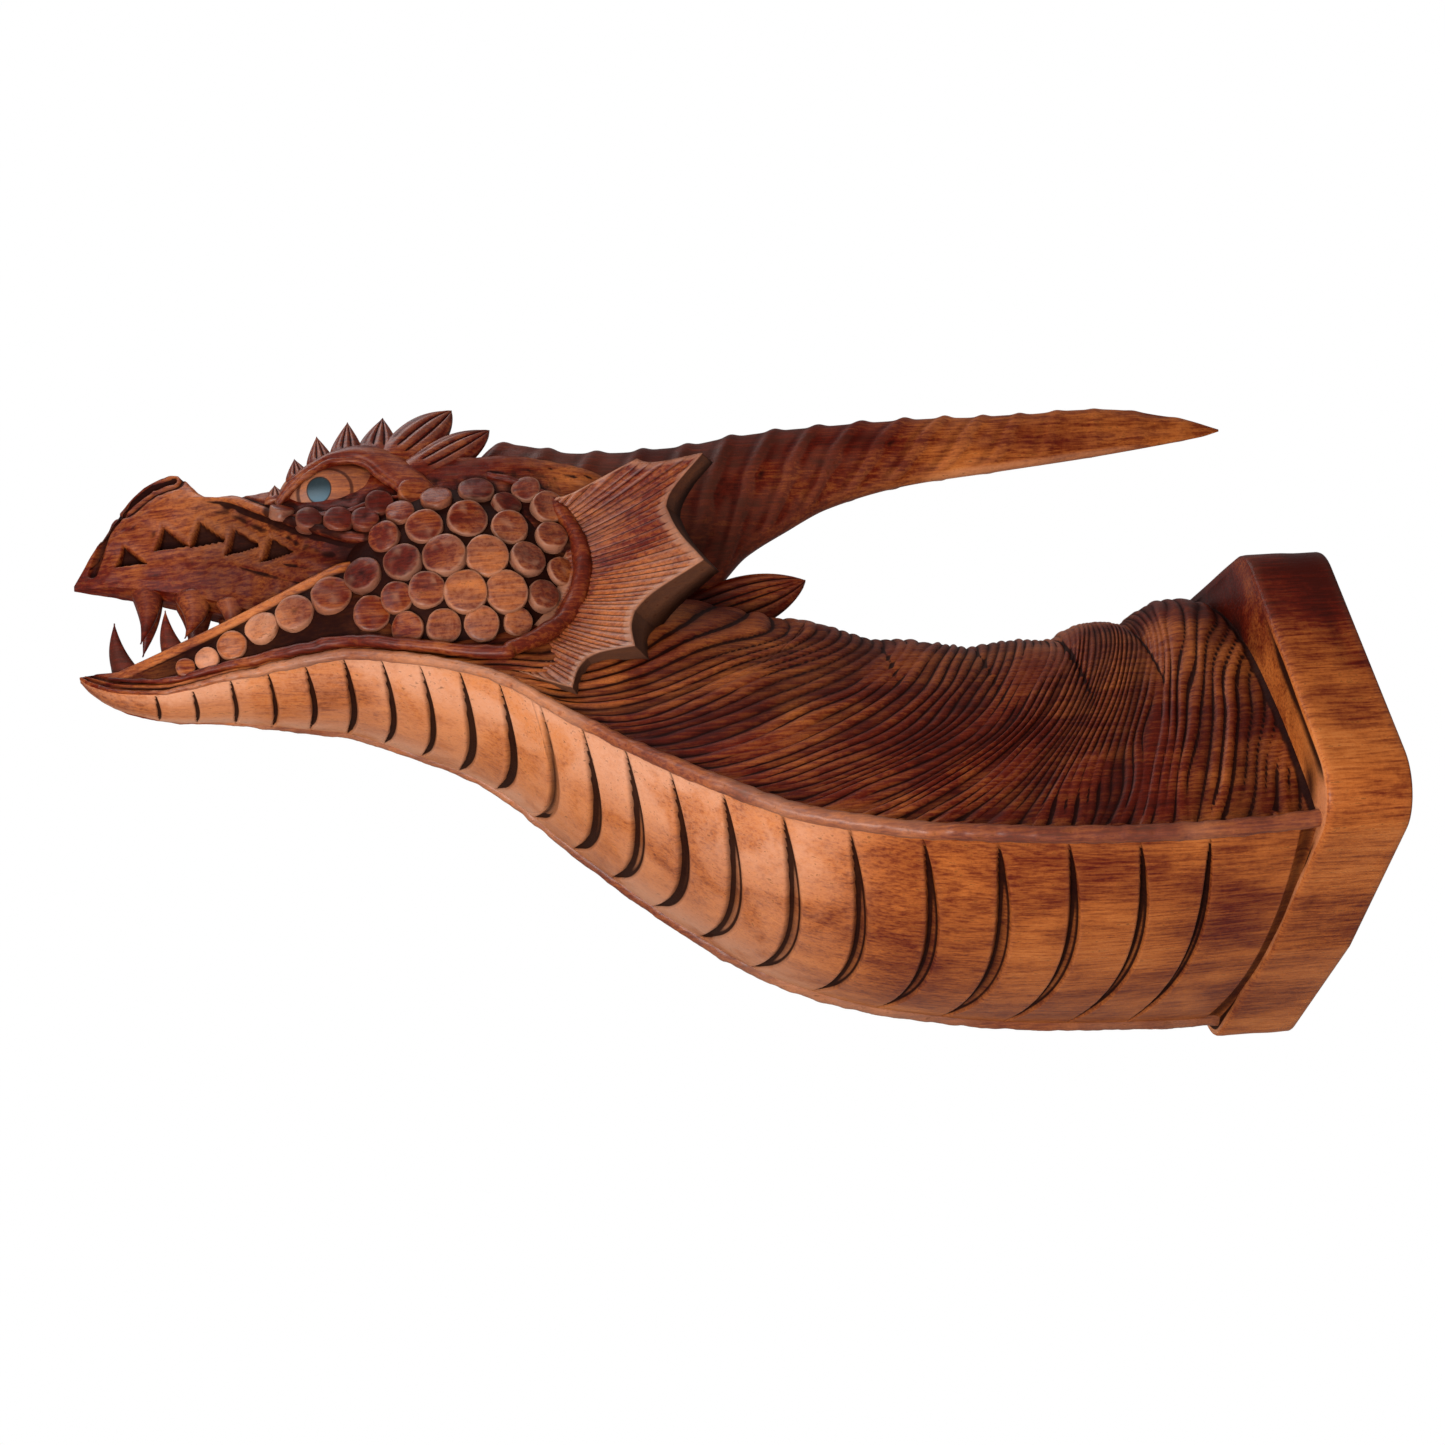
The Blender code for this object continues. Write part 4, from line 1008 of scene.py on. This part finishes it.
def start_tree(name, inputs, output):
    """Geometry Nodes tree with its sockets, as a graph and the values of its inputs."""
    tree = bpy.data.node_groups.new(name, "GeometryNodeTree")
    for title, kind in inputs.items():
        tree.interface.new_socket(title, in_out="INPUT", socket_type="NodeSocket" + kind)
    tree.interface.new_socket(output, in_out="OUTPUT", socket_type="NodeSocketGeometry")
    g = Graph(tree)
    entry = tree.nodes.new("NodeGroupInput")
    return g, [Value(g, entry.outputs[title]) for title in inputs]


def end_tree(g, shape, scale, detail, uneven, material):
    """Make the shape real, move its points by smooth noise and give it its wood."""
    real = g.add("GeometryNodeRealizeInstances", values={"Geometry": shape})
    noise = g.add("ShaderNodeTexNoise", values={"Scale": scale, "Detail": detail}, output="Color")
    centred = g.add("ShaderNodeVectorMath", {"operation": "SUBTRACT"}, {0: noise, 1: (0.5, 0.5, 0.5)})
    shift = g.add("ShaderNodeVectorMath", {"operation": "SCALE"}, {0: centred, "Scale": uneven})
    rough = g.add("GeometryNodeSetPosition", values={"Geometry": real, "Offset": shift})
    coated = g.add("GeometryNodeSetMaterial", values={"Geometry": rough, "Material": material})
    g.add("NodeGroupOutput", values={0: coated})
    return g.tree


def round_scale_tree(material):
    """Geometry Nodes: a flat-topped round scale on every point, turned to the point's normal."""
    inputs = {"Points": "Geometry", "Sides": "Int", "Rise": "Float", "Unevenness": "Float"}
    g, (points, sides, rise, uneven) = start_tree("Round scales on points", inputs, "Scales")
    ball = g.add("GeometryNodeMeshUVSphere", values={"Segments": sides, "Rings": 12, "Radius": 1.0})
    x, y, z = g.split(g.add("GeometryNodeInputPosition"))
    spread = ((x * x + y * y + 0.0001) ** 0.5) ** -0.55
    tall = z * ((z * z + 0.0001) ** -0.38)
    shaped = g.add("ShaderNodeCombineXYZ", values={"X": x * spread, "Y": y * spread, "Z": tall})
    button = g.add("GeometryNodeSetPosition", values={"Geometry": ball, "Position": shaped})
    normal, radius = g.stored("facing", "FLOAT_VECTOR"), g.stored("radius")
    turned = g.add("FunctionNodeAlignRotationToVector", {"axis": "Z"}, {"Vector": normal})
    size = g.add("ShaderNodeCombineXYZ", values={"X": radius, "Y": radius * 0.95, "Z": rise})
    values = {"Points": points, "Instance": button, "Rotation": turned, "Scale": size}
    placed = g.add("GeometryNodeInstanceOnPoints", values=values)
    return end_tree(g, placed, 150.0, 1.0, uneven, material)


def rod_tree(material):
    """Geometry Nodes: a round band along a line of points, as thick as the radius on each point."""
    inputs = {"Line": "Geometry", "Sides": "Int", "Unevenness": "Float"}
    g, (line, sides, uneven) = start_tree("Round band along a line", inputs, "Band")
    curve = g.add("GeometryNodeMeshToCurve", values={"Mesh": line})
    profile = g.add("GeometryNodeCurvePrimitiveCircle", values={"Resolution": sides, "Radius": 1.0})
    values = {"Curve": curve, "Profile Curve": profile, "Scale": g.stored("radius"), "Fill Caps": True}
    band = g.add("GeometryNodeCurveToMesh", values=values)
    return end_tree(g, band, 130.0, 2.0, uneven, material)


def smooth_line(corners, count):
    """Points on a smooth line through (across, reach, height) corners."""
    corners = np.array(corners, float)
    places = np.linspace(0, len(corners) - 1, count)
    return np.stack([follow(tuple(enumerate(corners[:, n])), places) for n in range(3)], axis=-1)


def make_bands(name, lines, material, sizes):
    """Round bands along lines of points, with their copies on the far side, as one piece."""
    points, edges, radii = [], [], []
    for line, radius in lines:
        for side in (1, -1):
            start = len(points)
            points += (line * (side * MM, -MM, MM)).tolist()
            edges += [(start + n, start + n + 1) for n in range(len(line) - 1)]
            radii += (radius * MM).tolist()
    obj = mesh_object(name, points, edges)
    mark(obj.data, "radius", radii)
    apply_tree(obj, rod_tree(material), {"Sides": 14, "Unevenness": sizes.band_wobble})
    weld(obj.data, BAND_WELD)
    finish_piece(obj, material, FEW_PASSES)


def apply_tree(obj, tree, inputs):
    """Run a Geometry Nodes tree on an object and keep its result as the object's plain mesh."""
    modifier = obj.modifiers.new(tree.name, "NODES")
    modifier.node_group = tree
    for item in tree.interface.items_tree:
        if item.in_out == "INPUT" and item.name in inputs:
            modifier[item.identifier] = inputs[item.name]
    bpy.context.view_layer.update()
    result = obj.evaluated_get(bpy.context.evaluated_depsgraph_get())
    mesh = bpy.data.meshes.new_from_object(result)
    obj.modifiers.clear()
    obj.data = mesh


def carrying_surface(names):
    """One search tree over the faces of finished pieces."""
    points, faces = [], []
    for name in names:
        mesh = bpy.data.objects[name].data
        start = len(points)
        points += [v.co.copy() for v in mesh.vertices]
        faces += [[start + n for n in p.vertices] for p in mesh.polygons]
    return BVHTree.FromPolygons(points, faces)


def eye_finish(name, base, sizes):
    """Painted eye: a blue-grey pupil with a thin dark line, and a dark ring of painted shade for the groove
    round the iris.
    """
    wood = base.copy()
    wood.name = name
    g = Graph(wood.node_tree)
    shader = [n for n in wood.node_tree.nodes if n.type == "BSDF_PRINCIPLED"][0]
    under = Value(g, shader.inputs["Base Color"].links[0].from_socket)
    _, y, z = g.split(g.add("ShaderNodeTexCoord", output="Object"))

    def rounds(centre, radii):
        along = (y + centre[0] * MM) / (radii[0] * MM)
        up = (z - centre[1] * MM) / (radii[1] * MM)
        return (along * along + up * up) ** 0.5

    pupil, iris = rounds(PUPIL, PUPIL_RADII), rounds(IRIS, IRIS_RADII)
    ring = iris.between(0.9, 0.96) * (1 - iris.between(1.02, 1.1))
    outside = z.between(*EYE_DARK_HEIGHT).math("MAXIMUM", (y + EYE_DARK_REACH).between(0, 0.01))
    colour = g.mix(outside * 0.7, under, rgba(sizes.deep_wood, 0.7))
    # Painted shade: a near-black ring for the groove round the iris.
    colour = g.mix(ring * 0.85, colour, (0.03, 0.006, 0.003, 1.0))
    # The pupil's paint darkens towards its top as painted shade.
    shade = (z + (0.003 - PUPIL[1] * MM)).between(-0.004, 0.006)
    paint = g.mix(shade, rgba(sizes.pupil_paint), (0.012, 0.02, 0.024, 1.0))
    colour = g.mix(1 - pupil.between(0.97, 1.02), colour, (0.02, 0.012, 0.01, 1.0))
    colour = g.mix(1 - pupil.between(0.86, 0.93), colour, paint)
    wood.node_tree.links.new(colour.socket, shader.inputs["Base Color"])
    return wood


def length_prop(name, description, default):
    return FloatProperty(name=name, description=description, default=default, unit="LENGTH")


def colour_prop(name, description, default):
    return FloatVectorProperty(name=name, description=description, default=default, subtype="COLOR")


def share_prop(name, description, default):
    return FloatProperty(name=name, description=description, default=default, subtype="FACTOR")


class CarvingSizes(bpy.types.PropertyGroup):
    """Sizes and colours of the carving."""

    strand_pitch: length_prop("Strand pitch", "Distance between the mane's hair strands", 0.0049)
    strand_depth: length_prop("Strand depth", "Depth of the cuts between the strands", 0.0016)
    gouge_width: length_prop("Belly gouge width", "Width of the widest belly gouge", 0.007)
    gouge_depth: length_prop("Belly gouge depth", "Depth of the belly gouges", 0.003)
    ray_pitch: length_prop("Frill ray pitch", "Distance between the frill's rays", 0.0027)
    ray_depth: length_prop("Frill ray depth", "Depth of the cuts between the rays", 0.0007)
    horn_rings: IntProperty(name="Horn rings", description="Number of raised rings on the horn", default=17)
    # Strength of the wear and painted sheen on high spots.
    wear_and_sheen_strength: share_prop("Polish", "How far rubbed high spots turn grey", 0.6)
    light_wood: colour_prop("Light wood", "Light tone of the wood", (0.32, 0.082, 0.015))
    deep_wood: colour_prop("Deep wood", "Deep tone of the wood", (0.075, 0.005, 0.0012))
    # Grey-pink tone of wear and painted sheen; the pale patches with painted sheen take it brighter.
    wear_and_sheen_wood: colour_prop("Rubbed wood", "Tone of rubbed high spots", (0.30, 0.145, 0.088))
    pupil_paint: colour_prop("Pupil paint", "Colour of the painted pupil", (0.055, 0.10, 0.13))
    band_wobble: length_prop("Band wobble", "Unevenness of the hand-cut bands", 0.002)
    scale_size: FloatProperty(
        name="Scale size", description="Size of the round scales against their list", default=SCALE_SIZE
    )
    scale_rise: length_prop("Scale rise", "How far the round scales stand out", 0.0030)
    lamp: FloatProperty(name="Lamp", description="Power of the main lamp", default=17.0, unit="POWER")
    studio: share_prop("Studio light", "Strength of the soft light from all round", 0.36)


class CARVING_OT_neck(bpy.types.Operator):
    """Neck with mane and belly scutes, throat and lower jaw"""

    bl_idname = "carving.neck"
    bl_label = "Neck, throat and jaw"

    def execute(self, context):
        sizes = context.scene.carving
        wood = carved_wood("mane_wood", sizes)
        made = neck_grid(row_places(NECK_SEAT, THROAT_SEAM, REACH, *NECK_ROWS), sizes)
        seam = NECK_ROWS[0]
        finish_piece(ring_mesh("neck", *[v[:seam] for v in made]), wood)
        finish_piece(ring_mesh("throat_and_jaw", *[v[seam - 1 :] for v in made]), wood)
        return {"FINISHED"}


class CARVING_OT_plaque(bpy.types.Operator):
    """Plaque against the wall"""

    bl_idname = "carving.plaque"
    bl_label = "Plaque"

    def execute(self, context):
        wood = carved_wood("plaque_wood", context.scene.carving)
        finish_piece(ring_mesh("plaque", *plaque_grid()), wood, FEW_PASSES)
        return {"FINISHED"}


class CARVING_OT_skull(bpy.types.Operator):
    """Upper jaw, beak, crown and the dome of the cheek"""

    bl_idname = "carving.skull"
    bl_label = "Skull and cheeks"

    def execute(self, context):
        wood = carved_wood("skull_wood", context.scene.carving)
        grid = skull_grid(row_places(SKULL_START, SKULL_FRONT, BEAK_REACH, *SKULL_ROWS))
        lift, cut, tint = skull_relief(grid)
        finish_piece(ring_mesh("skull", grid + surface_normals(grid) * lift[..., None], cut, tint), wood)
        ball = smooth_ball(CHEEK_CENTRE, CHEEK_RADII)
        # The cheek dome is all painted shade: it shows only in the gaps between the round scales.
        finish_piece(both_sides("cheeks", [ball], [np.ones(ball.shape[:2])]), wood)
        return {"FINISHED"}


class CARVING_OT_scales(bpy.types.Operator):
    """Round scales on the cheeks, muzzle and jaw"""

    bl_idname = "carving.scales"
    bl_label = "Round scales"

    def execute(self, context):
        sizes = context.scene.carving
        wood = carved_wood("scale_wood", sizes)
        carrier = carrying_surface(("cheeks", "skull", "throat_and_jaw", "eyes"))
        spots, facings, radii, tints = [], [], [], []
        for reach, height, radius in SCALES:
            tilt = [SCALE_TILT * float(jitter(at * 7, seed)) for at, seed in ((reach, 6), (height, 7))]
            pale = float(ease(375, 400, reach) * (height < 100))
            for side in (1, -1):
                start = Vector((side * 0.12, -reach * MM, height * MM))
                spot, facing, _, _ = carrier.ray_cast(start, Vector((-side, 0, 0)))
                if spot is None:
                    raise RuntimeError("a round scale has nothing to sit on")
                outward = facing if facing.x * side > 0 else -facing
                spots.append(spot)
                facings.append(outward + Vector((side * SCALE_OUTWARD, *tilt)))
                radii.append(radius * sizes.scale_size * MM)
                tints.append(0.1 * float(jitter(reach * 5, 4)) + 0.2 * pale)
        obj = mesh_object("round_scales", spots)
        layer = obj.data.attributes.new("facing", "FLOAT_VECTOR", "POINT")
        layer.data.foreach_set("vector", np.ravel(facings))
        mark(obj.data, "radius", radii)
        mark(obj.data, "tint", tints)
        inputs = {"Sides": 28, "Rise": sizes.scale_rise, "Unevenness": 0.0013}
        apply_tree(obj, round_scale_tree(wood), inputs)
        finish_piece(obj, wood, 2)
        return {"FINISHED"}


class CARVING_OT_frill(bpy.types.Operator):
    """Rayed frills, the raised rims round the cheeks and the bands on the lower edges"""

    bl_idname = "carving.frill"
    bl_label = "Frills, cheek rims and edge bands"

    def execute(self, context):
        sizes = context.scene.carving
        names = ("frill_wood", "rim_wood", "lip_wood")
        frill_wood, rim_wood, lip_wood = [carved_wood(name, sizes) for name in names]
        grid, cut = frill_grid(sizes)
        finish_piece(both_sides("frills", [grid], [cut]), frill_wood)
        angle = np.radians(np.linspace(*RIM_ANGLES, 16))
        out = CHEEK_CENTRE[0] + 12.5 + 3 * np.cos(angle) + 9 * ease(-30, RIM_ANGLES[1], np.degrees(angle))
        back, up = RIM_RADII[0] * np.cos(angle), RIM_RADII[1] * np.sin(angle)
        rim = grid_of(out, CHEEK_CENTRE[1] - back, CHEEK_CENTRE[2] + up)
        jaw = np.linspace(*FOLD_REACHES, 10)
        fold = np.minimum(edge_height(jaw) + 5.6, jaw_rim_height(jaw) - 1.5)
        fold = grid_of(edge_spread(jaw) * 1.06 + 0.6, jaw, fold)
        rim_line = smooth_line(np.concatenate([rim, fold]), RIM_POINTS)
        swell = follow(RIM_SWELL, np.linspace(0, 1, RIM_POINTS))
        make_bands("cheek_rims", [(rim_line, swell)], rim_wood, sizes)
        reach = np.linspace(29, 492, 420)
        lip = grid_of(edge_spread(reach) + 0.3, reach, edge_height(reach) + 0.8)
        thick = 0.6 + 1.7 * ease(492, 400, reach) + 1.1 * ease(330, 240, reach)
        make_bands("edge_bands", [(lip, thick)], lip_wood, sizes)
        return {"FINISHED"}


class CARVING_OT_eyes(bpy.types.Operator):
    """Eyes with painted pupils, lids, brows and the spikes along them"""

    bl_idname = "carving.eyes"
    bl_label = "Eyes, brows and spikes"

    def execute(self, context):
        sizes = context.scene.carving
        wood = carved_wood("brow_wood", sizes)
        paint = eye_finish("eye_paint", carved_wood("eye_wood", sizes), sizes)
        finish_piece(both_sides("eyes", [smooth_ball(EYE_CENTRE, EYE_RADII)]), paint)
        swell = np.sin(np.pi * np.linspace(0.06, 0.94, 60)) ** 0.5
        lids = [(smooth_line(UPPER_LID, 60), 1.5 * swell), (smooth_line(LOWER_LID, 60), 1.0 * swell)]
        make_bands("lids", lids, wood, sizes)
        finish_piece(both_sides("brows", [brow_grid()]), wood, FEW_PASSES)
        leaves = zip(*[leaf_grid(*spike) for spike in SPIKES])
        finish_piece(both_sides("spikes", *leaves), wood, FEW_PASSES)
        return {"FINISHED"}


class CARVING_OT_horn(bpy.types.Operator):
    """Swept-back ringed horn and the fin below its root"""

    bl_idname = "carving.horn"
    bl_label = "Horn and fin"

    def execute(self, context):
        sizes = context.scene.carving
        wood = carved_wood("horn_wood", sizes)
        finish_piece(ring_mesh("horn", *horn_grid(sizes)), wood)
        grid, cut = leaf_grid(*FIN)
        finish_piece(ring_mesh("fin", grid, cut, np.full(cut.shape, -0.2)), wood, FEW_PASSES)
        return {"FINISHED"}


class CARVING_OT_teeth(bpy.types.Operator):
    """Fangs and lower teeth"""

    bl_idname = "carving.teeth"
    bl_label = "Teeth"

    def execute(self, context):
        wood = carved_wood("tooth_wood", context.scene.carving)
        finish_piece(both_sides("teeth", [tooth_grid(*tooth) for tooth in TEETH]), wood, FEW_PASSES)
        return {"FINISHED"}


class CARVING_OT_stage(bpy.types.Operator):
    """Floor, soft studio light and the camera"""

    bl_idname = "carving.stage"
    bl_label = "Stage"

    def execute(self, context):
        scene, sizes = context.scene, context.scene.carving
        square = ((-1, -1), (1, -1), (1, 1), (-1, 1))
        corners = [(x * FLOOR_HALF, y * FLOOR_HALF, FLOOR_LEVEL) for x, y in square]
        floor = mesh_object("floor", corners, faces=[(0, 1, 2, 3)])
        paint = bpy.data.materials.new("floor_paint")
        paint.use_nodes = True
        shader = paint.node_tree.nodes["Principled BSDF"]
        shader.inputs["Base Color"].default_value = (0.8, 0.79, 0.78, 1.0)
        shader.inputs["Roughness"].default_value = 0.8
        floor.data.materials.append(paint)

        world = bpy.data.worlds.new("studio")
        world.use_nodes = True
        world.node_tree.nodes.clear()
        g = Graph(world.node_tree)
        seen = g.add("ShaderNodeLightPath", output="Is Camera Ray")
        strength = seen * (1.0 - sizes.studio) + sizes.studio
        sky = g.add("ShaderNodeBackground", values={"Color": (1.0, 1.0, 1.0, 1.0), "Strength": strength})
        g.add("ShaderNodeOutputWorld", values={"Surface": sky})
        scene.world = world
        scene.view_settings.view_transform = "Standard"
        for name, place, size, power in LAMPS:
            add_lamp(name, place, size, power * sizes.lamp)

        camera = bpy.data.cameras.new("camera")
        camera.sensor_width = SENSOR
        camera.lens = SENSOR * FOCUS_PIXELS / PHOTO_PIXELS
        camera.clip_start, camera.clip_end = 0.05, 50.0
        scene.camera = new_object("camera", camera)
        turn = Matrix(CAMERA_AXES).transposed().to_4x4()
        scene.camera.matrix_world = Matrix.Translation(CAMERA_PLACE) @ turn
        return {"FINISHED"}


def add_lamp(name, place, size, power):
    """Square area lamp aimed at the middle of the carving."""
    lamp = bpy.data.lights.new(name, "AREA")
    lamp.size = size
    lamp.energy = power
    middle = (CAD_BOX[0] + CAD_BOX[1]) / 2
    aim = (Vector(place) - middle).to_track_quat("Z", "Y")
    new_object(name, lamp).matrix_world = Matrix.Translation(place) @ aim.to_matrix().to_4x4()


class CARVING_PT_panel(bpy.types.Panel):
    """Sizes and pieces of the carving"""

    bl_label = "Dragon head carving"
    bl_idname = "CARVING_PT_panel"
    bl_space_type = "VIEW_3D"
    bl_region_type = "UI"
    bl_category = "Carving"

    def draw(self, context):
        for name in CarvingSizes.__annotations__:
            self.layout.prop(context.scene.carving, name)
        for operator in OPERATORS:
            self.layout.operator(operator.bl_idname)


OPERATORS = (
    CARVING_OT_stage,
    CARVING_OT_neck,
    CARVING_OT_plaque,
    CARVING_OT_skull,
    CARVING_OT_eyes,
    CARVING_OT_scales,
    CARVING_OT_frill,
    CARVING_OT_horn,
    CARVING_OT_teeth,
)
CLASSES = (CarvingSizes, *OPERATORS, CARVING_PT_panel)


def register():
    for cls in CLASSES:
        bpy.utils.register_class(cls)
    bpy.types.Scene.carving = PointerProperty(type=CarvingSizes)


def unregister():
    del bpy.types.Scene.carving
    for cls in reversed(CLASSES):
        bpy.utils.unregister_class(cls)


def main():
    register()
    for operator in OPERATORS:
        group, name = operator.bl_idname.split(".")
        getattr(getattr(bpy.ops, group), name)()


if __name__ == "__main__":
    main()
